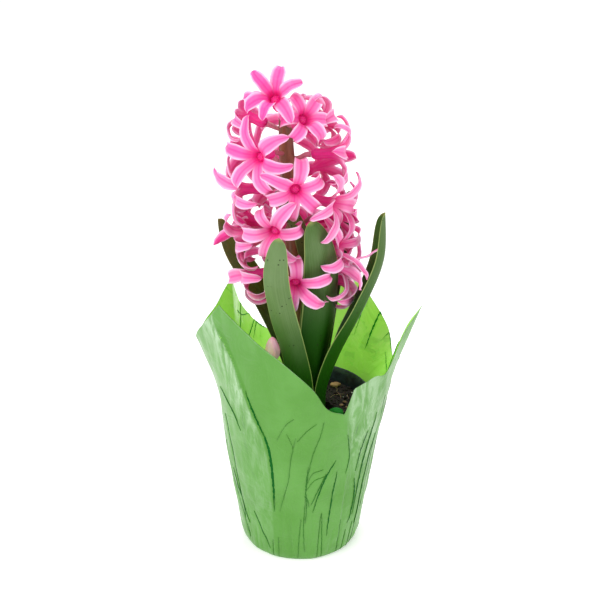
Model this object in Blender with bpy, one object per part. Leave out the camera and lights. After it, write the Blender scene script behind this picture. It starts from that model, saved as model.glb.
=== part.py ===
"""A flowering hyacinth in a round nursery pot, stood in a gathered green film cover.

Metres, +Z up. The origin is the middle of the cover's flat base, and -Y is the front.
Lists of places are in centimetres and are scaled as they are read.
"""
import math
import random

import bmesh
import bpy
from mathutils import Matrix, Vector
from mathutils.bvhtree import BVHTree

CM = 0.01
MM = 0.001
SEAT_GAP = 0.3 * MM           # clearance between two pieces that touch
UP = Vector((0.0, 0.0, 1.0))

# Film cover
FILM = 0.75 * MM              # modelled thickness of the film
FILM_COLUMN_ANGLE = 7.5       # widest angle between two columns, in degrees
FILM_BASE_RADIUS = 3.85 * CM
FILM_WALL_RADIUS = 4.08 * CM  # the wall's line carried down to the base
FILM_WALL_SLOPE = 0.148       # radius gained for each unit of height
FILM_RING_HEIGHT = 10.7 * CM  # where the film passes the pot's rim and the flaps begin
FILM_WALL_HEIGHTS = [0.0, 0.25, 0.9, 2.2, 4.0, 6.2, 8.5]          # cm, up to the ring
FILM_FLAP_STEPS = [0.0, 0.17, 0.34, 0.52, 0.7, 0.86, 1.0]
FILM_PLEAT = 1.5 * MM         # how far a pleat stands in or out near the base
FILM_PLEAT_FADE = [1.0, 0.45, 0.4, 0.1]   # its share at the base, below and above the ring, at the edge
FILM_TUCK = 0.5 * MM          # the lowest folds are tucked in under the base
FILM_CREASE = 0.8 * MM        # broad dents of the flaps
FILM_FLARE = 1.2              # above 1 the flaps open mostly near their tips
# The free edge: degrees round from +X, radius and height in cm. Four flaps and the front notch.
FILM_EDGE = [
    (-180, 7.0, 15.4), (-160, 6.6, 17.6), (-146, 6.2, 19.4), (-126, 5.9, 18.0),
    (-101, 5.9, 16.3), (-82, 5.75, 14.4), (-72, 5.8, 12.8), (-61, 6.05, 12.3),
    (-55, 6.15, 14.1), (-39, 6.35, 14.4), (-28, 6.5, 14.3), (-13, 7.1, 16.4),
    (-2, 8.2, 18.0), (9, 7.25, 15.3), (20, 6.95, 12.6), (33, 7.3, 14.2),
    (48, 7.3, 16.0), (61, 7.2, 17.9), (82, 6.9, 15.6), (107, 6.5, 12.9),
    (130, 6.15, 15.3), (147, 5.5, 18.4), (163, 6.1, 16.8),
]

# Pot
POT_CENTRE = Vector((0.2 * CM, 0.0, 0.0))
POT_SIDES = 28
POT_FLOOR = FILM + SEAT_GAP   # its underside stands on the film
POT_HEIGHT = 11.0 * CM
POT_RIM_RADIUS = 4.7 * CM
POT_BASE_RADIUS = 3.3 * CM
POT_FOOT_BEVEL = 1.5 * MM
POT_WALL = 1.0 * MM
POT_RIM_BAND = 8.0 * MM       # height of the thicker band at the rim
POT_RIM_PROUD = 1.6 * MM      # how far the band stands out of the wall
POT_RIM_BEVEL = 0.8 * MM
DRAIN_HOLES = 5
DRAIN_RADIUS = 4.0 * MM

# Plant: bulb, soil and what stands in it
PLANT_CENTRE = Vector((0.8 * CM, -0.45 * CM, 0.0))
SOIL_TOP = 10.0 * CM
SOIL_RELIEF = 1.6 * MM
SOIL_SIDES = 24
SOIL_RINGS = 6                # rings of the bumpy top, from the neck hole out to the wall
SOIL_EDGE = 3.0 * MM          # the top edge's bevel, and the bottom's
NECK_HOLE_RADIUS = 1.62 * CM
BED_FLOOR_RADIUS = 0.8 * CM
STALK_HOLE_ROOM = 0.9 * MM    # round the side stalk
BULB_TOP = 9.45 * CM
# The bulb's outline from its base plate to its neck: radius and height below the top, cm.
BULB_PROFILE = [(0.9, -5.2), (1.75, -4.7), (2.25, -3.4), (2.2, -2.5), (1.8, -1.3), (1.55, -0.45),
                (1.5, 0.0)]
BULB_SIDES = 20
SIDE_STALK_PATH = [(-1.2, -1.75, 9.2), (-1.22, -1.75, 10.0), (-1.42, -1.75, 11.6), (-1.75, -1.8, 13.2),
                   (-1.8, -1.8, 14.5)]
SIDE_STALK_RADIUS = 2.4 * MM
SIDE_BUD_LENGTH = 17.0 * MM
SIDE_BUD_RADIUS = 5.0 * MM
# Shares of the bud's radius and length, from its foot to its point
SIDE_BUD_PROFILE = [(0.5, 0.0), (0.9, 0.18), (1.0, 0.45), (0.85, 0.7), (0.45, 0.92), (0.15, 1.0)]
CHIP_CENTRE = Vector((2.5 * CM, 2.85 * CM, 0.0))
CHIP_SIZE = (8.0 * MM, 5.0 * MM, 2.2 * MM)

# Flower stalk: its path and radius, cm
SCAPE_PATH = [(0.8, -0.45, 9.48), (0.5, -0.25, 12.3), (0.1, -0.05, 16.3), (-0.3, 0.0, 21.0),
              (-0.65, 0.0, 25.5), (-0.87, 0.0, 29.0), (-0.95, 0.0, 31.2)]
SCAPE_RADII = [0.5, 0.5, 0.5, 0.52, 0.55, 0.52, 0.4]
SCAPE_SIDES = 10
PEDICEL_RADIUS = 1.5 * MM

# Florets: each one faces out at the golden angle from the one above it
FLORETS = 26
GOLDEN_ANGLE = 137.5
FIRST_AZIMUTH = -108.0
TOP_THROAT_HEIGHT = 32.6 * CM
THROAT_DROP = 0.72 * CM       # drop from the first floret to the second
THROAT_DROP_EASE = 0.0078 * CM  # the drop shrinks towards the oldest florets
TOP_REACH = 2.1 * CM          # from the scape's middle to the first throat
FULL_REACH = 3.1 * CM         # and to the throats lower down
REACH_DEPTH = 5.0 * CM        # how far below the first throat the full reach begins
TUBE_LENGTH = 15.0 * MM
TUBE_PROFILE = [(1.7, 0.0), (3.3, 3.6), (2.9, 9.0)]   # ovary and waist: radius and height, mm
THROAT_RADIUS = 4.3 * MM
THROAT_DEPTH = 5.0 * MM
THROAT_ROOM = [6.5 * MM, 5.0 * MM, 3.0 * MM]   # open space kept before a throat, best first
TEPALS = 6
TEPAL_LENGTH = 28.0 * MM
TEPAL_WIDTH = 9.8 * MM
TEPAL_FRONT = 0.25 * MM       # the groove's floor above the tepal's middle line
TEPAL_BACK = 0.7 * MM         # the keel below it
TEPAL_CUP = 0.13              # how far the edges rise, as a share of the width
TEPAL_STEPS = [0.17, 0.35, 0.53, 0.7, 0.87]   # where along it the rings lie
TEPAL_SHAPE = [(0.0, 0.6), (0.2, 0.86), (0.42, 1.0), (0.65, 0.88), (0.87, 0.56), (1.0, 0.1)]
INNER_TEPAL_WIDTH = 0.9       # every second tepal is a little narrower
FULL_LENGTH_FLORET = 5        # the florets above this one are shorter
TOP_TEPAL_SHARE = 0.72        # length of the topmost floret's tepals, as a share of the full one
TOP_FLORET_CURL = 135.0       # the youngest floret is still nearly a flat star; degrees
FLORET_CURLS = (165.0, 245.0)
TEPAL_SWEEP = 0.2             # how far a tepal may bend sideways, in radians
CLEARANCE = 0.35 * MM
# Florets off the rule: how far round they are turned in degrees, raised in mm and spun in degrees
FLORET_SHIFTS = {0: (0, 2, 18), 1: (-90, -4, 0), 3: (80, 0, 0), 5: (16, -1, 0), 8: (7, -2, 0), 11: (8, 0, 30),
                 13: (10, -3, 0), 16: (38, -6, 0), 18: (5, 3, 0), 19: (-10, 0, 0), 21: (10, 4, 0),
                 24: (52, 3, 0)}
# Turns in degrees and drops in mm to try where a floret's own place is taken
FRAME_CHOICES = [(room, shift * side, drop) for room in THROAT_ROOM
                 for shift in (0, 6, 12, 18, 25, 32, 40, 48) for drop in (0, 3, -3, 6, -6)
                 for side in (1, -1)]
SEED = 43
FLORET_SEED = 341

# Leaves: spine in cm; width of the foot and widest width in cm, and where along it that lies; how
# blunt the tip is; the angle at which the two halves rise from the keel at the foot and the tip,
# how far the hollow side is turned off the scape, in degrees, and the keel's place across it
LEAVES = {
    "leaf_front_left": dict(
        spine=[(0.12, -1.5, 9.55), (-0.08, -2.0, 12.2), (-0.5, -2.75, 15.3), (-1.2, -3.8, 18.7),
               (-1.6, -4.65, 21.7), (-1.3, -5.1, 24.75)],
        foot=1.7, width=2.15, widest=0.25, blunt=7.0, fold=(35, 20), turn=0, keel=0.0),
    "leaf_middle": dict(
        spine=[(1.12, -1.1, 9.55), (1.12, -1.25, 12.2), (1.35, -1.7, 15.4), (1.65, -2.3, 19.05),
               (1.38, -2.9, 22.5), (0.7, -3.3, 25.15)],
        foot=1.2, width=3.3, widest=0.55, blunt=2.4, fold=(45, 12), turn=0, keel=0.0),
    "leaf_right": dict(
        spine=[(1.6, -1.38, 9.55), (1.68, -1.5, 12.1), (2.65, -1.6, 15.0), (4.2, -1.65, 18.4),
               (5.42, -1.3, 21.6), (5.5, -0.8, 24.75)],
        foot=1.0, width=2.9, widest=0.42, blunt=6.0, fold=(40, 48), turn=12, keel=0.15),
    "leaf_far_left": dict(
        spine=[(-0.15, 0.32, 9.55), (-0.75, 0.85, 12.3), (-1.7, 1.5, 15.2), (-3.25, 2.1, 18.2),
               (-4.8, 2.4, 20.9), (-5.5, 2.4, 23.0)],
        foot=1.2, width=2.5, widest=0.65, blunt=3.5, fold=(42, 22), turn=0, keel=0.0),
    "leaf_inner": dict(
        spine=[(0.1, -0.75, 9.55), (0.3, -0.87, 12.5), (0.6, -1.07, 16.5), (0.75, -1.25, 20.0),
               (0.15, -1.5, 23.4), (-1.0, -1.7, 25.5), (-2.3, -1.85, 27.0)],
        foot=0.8, width=1.4, widest=0.5, blunt=3.0, fold=(35, 25), turn=0, keel=0.0),
    "leaf_back": dict(
        spine=[(1.25, 0.28, 9.55), (1.6, 0.85, 12.5), (2.2, 1.6, 16.5), (2.85, 2.3, 20.0),
               (3.35, 2.8, 22.8), (3.3, 2.9, 24.8)],
        foot=1.4, width=2.1, widest=0.55, blunt=3.5, fold=(40, 28), turn=0, keel=0.0),
}
LEAF_STATIONS = 13
LEAF_COLUMNS = [-1.0, -0.55, 0.0, 0.55, 1.0]
LEAF_TAPER = 0.85             # a leaf narrows to this share, before its tip rounds off
LEAF_TIP = 0.12               # the last station's share of the widest width
LEAF_KEEL_ROUND = 0.3         # rounding of the keel, as a share of half the width
LEAF_EDGE = 0.65 * MM
LEAF_RIB = 1.5 * MM

PINK = (0.83, 0.16, 0.38)
LEAF_GREEN = (0.13, 0.27, 0.09)
LEAF_OLIVE = (0.2, 0.24, 0.07)


# ---------------------------------------------------------------- general helpers

def clear_scene():
    for obj in list(bpy.data.objects):
        bpy.data.objects.remove(obj, do_unlink=True)


def make_material(name, colour, roughness):
    material = bpy.data.materials.new(name)
    material.use_nodes = True
    shader = material.node_tree.nodes["Principled BSDF"]
    shader.inputs["Base Color"].default_value = (*colour, 1.0)
    shader.inputs["Roughness"].default_value = roughness
    shader.inputs["Metallic"].default_value = 0.0
    return material


def add_object(name, points, faces, material):
    mesh = bpy.data.meshes.new(name)
    mesh.from_pydata([tuple(p) for p in points], [], faces)
    work = bmesh.new()
    work.from_mesh(mesh)
    bmesh.ops.recalc_face_normals(work, faces=work.faces)
    work.to_mesh(mesh)
    work.free()
    mesh.materials.append(material)
    mesh.shade_smooth()
    mesh.set_sharp_from_angle(angle=math.radians(40))
    obj = bpy.data.objects.new(name, mesh)
    bpy.context.collection.objects.link(obj)
    return obj


def blend(a, b, t):
    return a + (b - a) * t


def polar(radius, azimuth, height=0.0):
    return Vector((radius * math.cos(azimuth), radius * math.sin(azimuth), height))


def table_value(table, x):
    """Straight-line value between (x, value) pairs."""
    for (x0, v0), (x1, v1) in zip(table, table[1:]):
        if x <= x1:
            return blend(v0, v1, (x - x0) / (x1 - x0))
    return table[-1][1]


def smooth_path(control, count):
    """Evenly spaced points along the smooth curve through the control points (Catmull-Rom)."""
    ends = [control[0] * 2 - control[1]] + list(control) + [control[-1] * 2 - control[-2]]
    dense = []
    for a, b, c, d in zip(ends, ends[1:], ends[2:], ends[3:]):
        for step in range(12):
            t = step / 12
            dense.append(0.5 * (2 * b + (c - a) * t + (2 * a - 5 * b + 4 * c - d) * t * t
                                + (3 * b - a - 3 * c + d) * t ** 3))
    dense.append(control[-1])
    lengths = [0.0]
    for p, q in zip(dense, dense[1:]):
        lengths.append(lengths[-1] + (q - p).length)
    path = []
    at = 0
    for step in range(count):
        goal = lengths[-1] * step / (count - 1)
        while at < len(dense) - 2 and lengths[at + 1] < goal:
            at += 1
        span = lengths[at + 1] - lengths[at]
        path.append(dense[at].lerp(dense[at + 1], (goal - lengths[at]) / span))
    return path


def tangents(path):
    last = len(path) - 1
    return [(path[min(i + 1, last)] - path[max(i - 1, 0)]).normalized() for i in range(last + 1)]


def scaled(points):
    return [Vector(p) * CM for p in points]


def loft(rings, blade=False):
    """Points and triangles of a closed body through rings of equal count.

    In a blade's ring the first half is the front, left to right, and the second half the back,
    right to left, and both faces get the same diagonals.
    """
    count = len(rings[0])
    points = [p for ring in rings for p in ring]
    faces = []
    for j in range(len(rings) - 1):
        low, high = j * count, (j + 1) * count
        for k in range(count):
            n = (k + 1) % count
            if blade and k >= count // 2:
                faces += [(low + k, low + n, high + k), (low + n, high + n, high + k)]
            else:
                faces += [(low + k, low + n, high + n), (low + k, high + n, high + k)]
    last = (len(rings) - 1) * count
    if blade:
        for start, flip in ((0, False), (last, True)):
            for k in range(count // 2 - 1):
                a, b, c, d = start + k, start + k + 1, start + count - 2 - k, start + count - 1 - k
                faces += [(a, d, c), (a, c, b)] if not flip else [(a, b, c), (a, c, d)]
    else:
        faces.append(tuple(range(count - 1, -1, -1)))
        faces.append(tuple(range(last, last + count)))
    return points, faces


def ring_about(centre, axis, radius, sides, towards=None):
    """A circle of points square to the axis. The first lies towards a given direction."""
    side = towards or axis.orthogonal()
    side = (side - axis * side.dot(axis)).normalized()
    other = axis.cross(side)
    angles = [2 * math.pi * k / sides for k in range(sides)]
    return [centre + radius * (math.cos(a) * side + math.sin(a) * other) for a in angles]


def turned(profile, sides, centre):
    """Points and faces of a body turned about a vertical axis. The profile is (radius, height)
    from its bottom to its top, both ends closed by a flat disc."""
    step = 2 * math.pi / sides
    rings = [[centre + polar(r, k * step, z) for k in range(sides)] for r, z in profile]
    return loft(rings)


def apply_boolean(target, operation, operand_collection=None, operand=None):
    """Adds an exact Boolean and makes its result the target's own mesh."""
    modifier = target.modifiers.new(operation.title(), "BOOLEAN")
    modifier.operation = operation
    modifier.solver = "EXACT"
    if operand_collection:
        modifier.operand_type = "COLLECTION"
        modifier.collection = operand_collection
    else:
        modifier.object = operand
    evaluated = target.evaluated_get(bpy.context.evaluated_depsgraph_get())
    result = bpy.data.meshes.new_from_object(evaluated)
    target.modifiers.clear()
    target.data = result


# ---------------------------------------------------------------- film cover

def film_azimuths():
    """The film's columns, in degrees: one at each point of the free edge and some between."""
    azimuths = []
    turns = [a for a, _, _ in FILM_EDGE] + [FILM_EDGE[0][0] + 360]
    for start, end in zip(turns, turns[1:]):
        parts = math.ceil((end - start) / FILM_COLUMN_ANGLE)
        azimuths += [blend(start, end, k / parts) for k in range(parts)]
    return azimuths


def film_edge(azimuth):
    """Radius and height of the free edge at an azimuth in degrees from -180 to 180."""
    closing = (FILM_EDGE[0][0] + 360, *FILM_EDGE[0][1:])
    edge = FILM_EDGE + [closing]
    radius = table_value([(a, r) for a, r, _ in edge], azimuth)
    height = table_value([(a, h) for a, _, h in edge], azimuth)
    return radius * CM, height * CM


def film_rows():
    """Loops of the film's outer face, from the rim of its base to its free edge."""
    rng = random.Random(SEED)
    degrees = film_azimuths()
    pleats = [rng.uniform(-1.0, 1.0) for _ in degrees]
    creases = [rng.uniform(-1.0, 1.0) for _ in degrees]
    rows = []
    for level in FILM_WALL_HEIGHTS:
        height = level * CM
        if level == 0.0:
            radius = FILM_BASE_RADIUS
        else:
            radius = FILM_WALL_RADIUS + FILM_WALL_SLOPE * height
            radius -= FILM_TUCK if level < 0.5 else 0.0
        depth = FILM_PLEAT * blend(*FILM_PLEAT_FADE[:2], height / FILM_RING_HEIGHT)
        rows.append([polar(radius + depth * p, math.radians(a), height)
                     for p, a in zip(pleats, degrees)])
    ring_radius = FILM_WALL_RADIUS + FILM_WALL_SLOPE * FILM_RING_HEIGHT
    for step in FILM_FLAP_STEPS:
        row = []
        for column, azimuth in enumerate(degrees):
            edge_radius, edge_height = film_edge(azimuth)
            turn = math.radians(azimuth)
            start = ring_radius + POT_CENTRE.x * math.cos(turn)
            radius = blend(start, edge_radius, step ** FILM_FLARE)
            radius += FILM_PLEAT * blend(*FILM_PLEAT_FADE[2:], step) * pleats[column]
            radius += FILM_CREASE * creases[column // 3] * math.sin(math.pi * step)
            row.append(polar(radius, turn, blend(FILM_RING_HEIGHT, edge_height, step)))
        rows.append(row)
    return rows


def build_wrap():
    rows = film_rows()
    columns = len(rows[0])
    outer = [p for row in rows for p in row]
    centre = len(outer)
    outer.append(Vector((0.0, 0.0, 0.0)))
    triangles = []
    for j in range(len(rows) - 1):
        for k in range(columns):
            n = (k + 1) % columns
            a, b = j * columns + k, j * columns + n
            c, d = b + columns, a + columns
            triangles += [(a, b, c), (a, c, d)]
    triangles += [(centre, (k + 1) % columns, k) for k in range(columns)]

    skin = bpy.data.meshes.new("film_skin")
    skin.from_pydata([tuple(p) for p in outer], [], triangles)
    normals = [Vector(v.normal) for v in skin.vertices]
    inner = [p - n * FILM for p, n in zip(outer, normals)]
    for k in range(columns):
        inner[k] = outer[k] * (1 - FILM / outer[k].length) + UP * FILM
    inner[centre] = UP * FILM
    bpy.data.meshes.remove(skin)

    shift = len(outer)
    faces = list(triangles)
    faces += [(c + shift, b + shift, a + shift) for a, b, c in triangles]
    top = (len(rows) - 1) * columns
    for k in range(columns):
        a, b = top + k, top + (k + 1) % columns
        faces += [(a, b, b + shift), (a, b + shift, a + shift)]
    film = make_material("green_film", (0.22, 0.55, 0.12), 0.3)
    return add_object("wrap", outer + inner, faces, film)


# ---------------------------------------------------------------- pot, soil and bulb

def build_pot():
    bevel = POT_RIM_BEVEL
    band_foot = POT_HEIGHT - POT_RIM_BAND
    wall_top = POT_RIM_RADIUS - POT_RIM_PROUD
    foot_top = POT_FLOOR + POT_FOOT_BEVEL
    profile = [
        (POT_BASE_RADIUS - POT_FOOT_BEVEL, POT_FLOOR), (POT_BASE_RADIUS, foot_top),
        (wall_top - 0.5 * bevel, band_foot - bevel), (POT_RIM_RADIUS - 0.4 * bevel, band_foot),
        (POT_RIM_RADIUS, POT_HEIGHT - bevel), (POT_RIM_RADIUS - bevel, POT_HEIGHT),
        (wall_top - POT_WALL, POT_HEIGHT - bevel), (POT_BASE_RADIUS - POT_WALL, foot_top + POT_WALL),
        (POT_BASE_RADIUS - 1.2 * POT_FOOT_BEVEL, POT_FLOOR + POT_WALL),
    ]
    points, faces = turned(profile, POT_SIDES, POT_CENTRE)
    plastic = make_material("black_plastic", (0.012, 0.014, 0.018), 0.45)
    pot = add_object("pot", points, faces, plastic)
    holes = bpy.data.collections.new("drain_holes")
    bpy.context.scene.collection.children.link(holes)
    for k in range(DRAIN_HOLES):
        spot = POT_CENTRE + polar(0.6 * POT_BASE_RADIUS, 2 * math.pi * k / DRAIN_HOLES)
        rings = [ring_about(spot + UP * z, UP, DRAIN_RADIUS, 8) for z in (-1 * MM, 5 * MM)]
        cutter = add_object("drain_cutter", *loft(rings), plastic)
        bpy.context.collection.objects.unlink(cutter)
        holes.objects.link(cutter)
    apply_boolean(pot, "DIFFERENCE", operand_collection=holes)
    for cutter in list(holes.objects):
        bpy.data.objects.remove(cutter, do_unlink=True)
    bpy.data.collections.remove(holes)


def soil_height(x, y):
    """Height of the soil's loose surface, level where the chip lies."""
    bumps = math.sin(900 * x + 1.3) * math.cos(760 * y) + 0.7 * math.sin(1500 * (x + y) + 0.4)
    away = math.hypot(x - CHIP_CENTRE.x, y - CHIP_CENTRE.y)
    level = min(1.0, max(0.0, away / (9 * MM) - 0.9))
    return SOIL_TOP + 0.5 * SOIL_RELIEF * bumps * level


def pot_inner_radius(height):
    low = POT_FLOOR + POT_FOOT_BEVEL + POT_WALL
    share = (height - low) / (POT_HEIGHT - POT_RIM_BEVEL - low)
    return blend(POT_BASE_RADIUS - POT_WALL, POT_RIM_RADIUS - POT_RIM_PROUD - POT_WALL, share)


def build_soil():
    """One body: the bulb's bed, a bumpy top round its neck hole, the outer wall and the bottom."""
    step = 2 * math.pi / SOIL_SIDES
    bed = [[PLANT_CENTRE + polar(r * CM + SEAT_GAP, k * step, BULB_TOP + z * CM)
            for k in range(SOIL_SIDES)] for r, z in BULB_PROFILE[:-1]]
    floor = BULB_TOP + BULB_PROFILE[0][1] * CM - SEAT_GAP
    bed.insert(0, [PLANT_CENTRE + polar(BED_FLOOR_RADIUS, k * step, floor)
                   for k in range(SOIL_SIDES)])
    top = []
    for j in range(SOIL_RINGS):
        ring = []
        for k in range(SOIL_SIDES):
            hole = PLANT_CENTRE + polar(NECK_HOLE_RADIUS, k * step)
            wall = POT_CENTRE + polar(pot_inner_radius(SOIL_TOP) - 2.3 * SEAT_GAP, k * step)
            spot = hole.lerp(wall, j / (SOIL_RINGS - 1))
            spot.z = soil_height(spot.x, spot.y)
            ring.append(spot)
        top.append(ring)
    floor = POT_FLOOR + POT_WALL
    outline = [(pot_inner_radius(z) - 1.2 * SEAT_GAP, z)
               for z in (SOIL_TOP - SOIL_EDGE, 0.5 * SOIL_TOP, floor + SOIL_EDGE)]
    outline.append((POT_BASE_RADIUS - 1.2 * POT_FOOT_BEVEL - POT_WALL, floor + SEAT_GAP))
    outer = [[POT_CENTRE + polar(r, k * step, z) for k in range(SOIL_SIDES)] for r, z in outline]
    points, faces = loft(bed + top + outer)
    earth = make_material("potting_soil", (0.035, 0.022, 0.015), 0.95)
    soil = add_object("soil", points, faces, earth)
    foot = Vector(SIDE_STALK_PATH[0]) * CM
    rings = [ring_about(Vector((foot.x, foot.y, z)), UP, SIDE_STALK_RADIUS + STALK_HOLE_ROOM, 10)
             for z in (foot.z - SEAT_GAP, SOIL_TOP + 5 * MM)]
    cutter = add_object("stalk_hole_cutter", *loft(rings), earth)
    apply_boolean(soil, "DIFFERENCE", operand=cutter)
    bpy.data.objects.remove(cutter, do_unlink=True)


def build_bulb():
    profile = [(r * CM, BULB_TOP + z * CM) for r, z in BULB_PROFILE]
    points, faces = turned(profile, BULB_SIDES, PLANT_CENTRE)
    return add_object("bulb", points, faces, make_material("bulb_skin", (0.35, 0.12, 0.16), 0.6))


def build_chip():
    """A flake with five uneven corners, lying on the level patch of soil."""
    corners = [(1.0, 0.1), (0.35, 1.0), (-0.8, 0.7), (-1.0, -0.4), (0.2, -1.0)]
    base = SOIL_TOP + SEAT_GAP
    rings = []
    for grow, height in ((0.8, 0.0), (1.0, 0.45), (0.75, 1.0)):
        rings.append([CHIP_CENTRE + Vector((x * grow * CHIP_SIZE[0] / 2, y * grow * CHIP_SIZE[1] / 2,
                                            base + height * CHIP_SIZE[2])) for x, y in corners])
    return add_object("bark_chip", *loft(rings), make_material("bark", (0.45, 0.27, 0.12), 0.8))


# ---------------------------------------------------------------- leaves and side stalk

def leaf_width(t, foot, width, widest, blunt):
    """Width along a leaf: from its foot, through its widest, to its blunt tip."""
    if t < widest:
        return blend(foot, width, math.sin(0.5 * math.pi * t / widest)) * CM
    fall = (t - widest) / (1 - widest)
    share = blend(1.0, LEAF_TAPER, fall) * math.sqrt(max(0.0, 1.0 - fall ** blunt))
    return max(LEAF_TIP, share) * width * CM


def leaf_section(spot, along, half, rise, turn, v):
    """Middle of the blade at v from its keel, and the way its hollow side faces there."""
    inward = scape_point(spot.z) - spot
    inward = Matrix.Rotation(math.radians(turn), 3, along) @ (inward - along * inward.dot(along))
    inward.normalize()
    side = along.cross(inward).normalized()
    angle = math.radians(rise)
    reach = math.hypot(v, LEAF_KEEL_ROUND)
    lift = (reach - LEAF_KEEL_ROUND) * math.sin(angle)
    tilt = math.atan2(math.sin(angle) * v / reach, math.cos(angle))
    middle = spot + half * (side * v * math.cos(angle) + inward * lift)
    return middle, inward * math.cos(tilt) - side * math.sin(tilt)


def leaf_rings(spine, foot, width, widest, blunt, fold, turn, keel):
    """Rings of a keeled blade whose hollow side faces the scape."""
    path = smooth_path(scaled(spine), LEAF_STATIONS)
    rings = []
    for j, (spot, along) in enumerate(zip(path, tangents(path))):
        t = j / (LEAF_STATIONS - 1)
        half = 0.5 * leaf_width(t, foot, width, widest, blunt)
        front, back = [], []
        for u in LEAF_COLUMNS:
            middle, out = leaf_section(spot, along, half, blend(*fold, t), turn, u - keel)
            thick = blend(LEAF_RIB * blend(1.0, 0.6, t), LEAF_EDGE, abs(u) ** 1.5)
            front.append(middle + out * thick / 2)
            back.append(middle - out * thick / 2)
        rings.append(front + back[::-1])
    return rings


def build_leaves(guard):
    for name, shape in LEAVES.items():
        points, faces = loft(leaf_rings(**shape), blade=True)
        tint = LEAF_OLIVE if name == "leaf_inner" else LEAF_GREEN
        add_object(name, points, faces, make_material(name, tint, 0.5))
        guard.add(points, faces)


def build_side_stalk():
    path = smooth_path(scaled(SIDE_STALK_PATH), 6)
    rings = [ring_about(p, UP, SIDE_STALK_RADIUS, 8) for p in path]
    pale = make_material("pale_stalk", (0.5, 0.55, 0.4), 0.5)
    add_object("side_stalk", *loft(rings), pale)
    axis = tangents(path)[-1]
    foot = path[-1] + axis * SEAT_GAP
    rings = [ring_about(foot + axis * SIDE_BUD_LENGTH * z, axis, SIDE_BUD_RADIUS * r, 10)
             for r, z in SIDE_BUD_PROFILE]
    bud = make_material("bud_pink", (0.85, 0.42, 0.52), 0.45)
    add_object("side_bud", *loft(rings), bud)


# ---------------------------------------------------------------- flower stalk and florets

def scape_point(height):
    """Middle of the scape at a height, carried on straight above its top."""
    path = scaled(SCAPE_PATH)
    table_x = [(p.z, p.x) for p in path]
    table_y = [(p.z, p.y) for p in path]
    low = max(height, path[0].z)
    return Vector((table_value(table_x, low), table_value(table_y, low), height))


class Guard:
    """Keeps the surfaces already placed and tells whether a new one stays clear of them."""

    def __init__(self):
        self.placed = []

    def add(self, points, faces, owner=None):
        """Places a surface. The one owner named may still cross it."""
        middle = sum(points, Vector()) / len(points)
        reach = max((p - middle).length for p in points)
        self.placed.append((middle, reach, BVHTree.FromPolygons(points, faces), owner))

    def is_clear(self, points, faces, asker=-1):
        middle = sum(points, Vector()) / len(points)
        reach = max((p - middle).length for p in points)
        tree = BVHTree.FromPolygons(points, faces)
        for other, other_reach, other_tree, owner in self.placed:
            near = (other - middle).length < reach + other_reach
            if near and owner != asker and tree.overlap(other_tree):
                return False
        return True


def floret_matrix(azimuth, throat_height, pitch):
    """Frame of a floret: its foot at the origin, facing +Z."""
    turn = math.radians(azimuth)
    tilt = math.radians(pitch)
    facing = Vector((math.cos(turn) * math.cos(tilt), math.sin(turn) * math.cos(tilt), math.sin(tilt)))
    share = min(1.0, (TOP_THROAT_HEIGHT - throat_height) / REACH_DEPTH)
    reach = blend(TOP_REACH, FULL_REACH, math.sin(0.5 * math.pi * share))
    throat = scape_point(throat_height) + polar(reach, turn)
    foot = throat - facing * TUBE_LENGTH
    return Matrix.Translation(foot) @ facing.to_track_quat("Z", "Y").to_matrix().to_4x4()


def throat_spot(k, radius, height):
    """A point of the throat, counted in twelfths of a turn."""
    return polar(radius, math.pi * k / TEPALS, height)


def tube_rings(margin=0.0):
    """The floret's tube in its own frame: three six-sided rings and the twelve-sided throat."""
    rings = [[throat_spot(2 * k, r * MM + margin, z * MM) for k in range(TEPALS)]
             for r, z in TUBE_PROFILE]
    rings.append([throat_spot(k, THROAT_RADIUS + margin + (0.3 * MM if k % 2 else 0.0), TUBE_LENGTH)
                  for k in range(2 * TEPALS)])
    return rings


def tepal_rings(place, shape, margin=0.0):
    """Four-point rings of one tepal beyond the throat (left, groove, right, keel), and its tip."""
    turn = math.pi * (2 * place + 1) / TEPALS
    length = TEPAL_LENGTH * shape["length"]
    steps = 30
    radius, height = THROAT_RADIUS * 0.95, TUBE_LENGTH
    wanted = [round(s * steps) for s in TEPAL_STEPS] + [steps]
    rings = []
    for step in range(1, steps + 1):
        s = (step - 0.5) / steps
        angle = blend(shape["start"], shape["end"], s ** shape["ease"])
        radius += math.sin(angle) * length / steps
        height += math.cos(angle) * length / steps
        if step not in wanted:
            continue
        s = step / steps
        angle = blend(shape["start"], shape["end"], s ** shape["ease"])
        lean = turn + shape["lean"] * s ** 1.5
        middle = polar(radius, lean, height)
        out = Vector((math.cos(lean), math.sin(lean), 0.0))
        side = Vector((-math.sin(lean), math.cos(lean), 0.0))
        front = UP * math.sin(angle) - out * math.cos(angle)
        half = 0.5 * TEPAL_WIDTH * shape["width"] * table_value(TEPAL_SHAPE, s)
        half *= INNER_TEPAL_WIDTH if place % 2 else 1.0
        if step == steps:
            rings.append(middle)
            continue
        edge = front * (2 * half * TEPAL_CUP)
        rings.append([
            middle - side * (half + margin) + edge,
            middle + front * (TEPAL_FRONT + margin),
            middle + side * (half + margin) + edge,
            middle - front * (TEPAL_BACK * blend(1.0, 0.7, s) + margin),
        ])
    return rings


def tepal_skin(rings, start):
    """Triangles between four-point rings and a tip, numbered from start."""
    faces = []
    for j in range(len(rings) - 2):
        low, high = start + 4 * j, start + 4 * (j + 1)
        for k in range(4):
            n = (k + 1) % 4
            if k < 2:
                faces += [(low + k, low + n, high + n), (low + k, high + n, high + k)]
            else:
                faces += [(low + k, low + n, high + k), (low + n, high + n, high + k)]
    tip = start + 4 * (len(rings) - 1)
    last = tip - 4
    faces += [(last + k, last + (k + 1) % 4, tip) for k in range(4)]
    return faces


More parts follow.
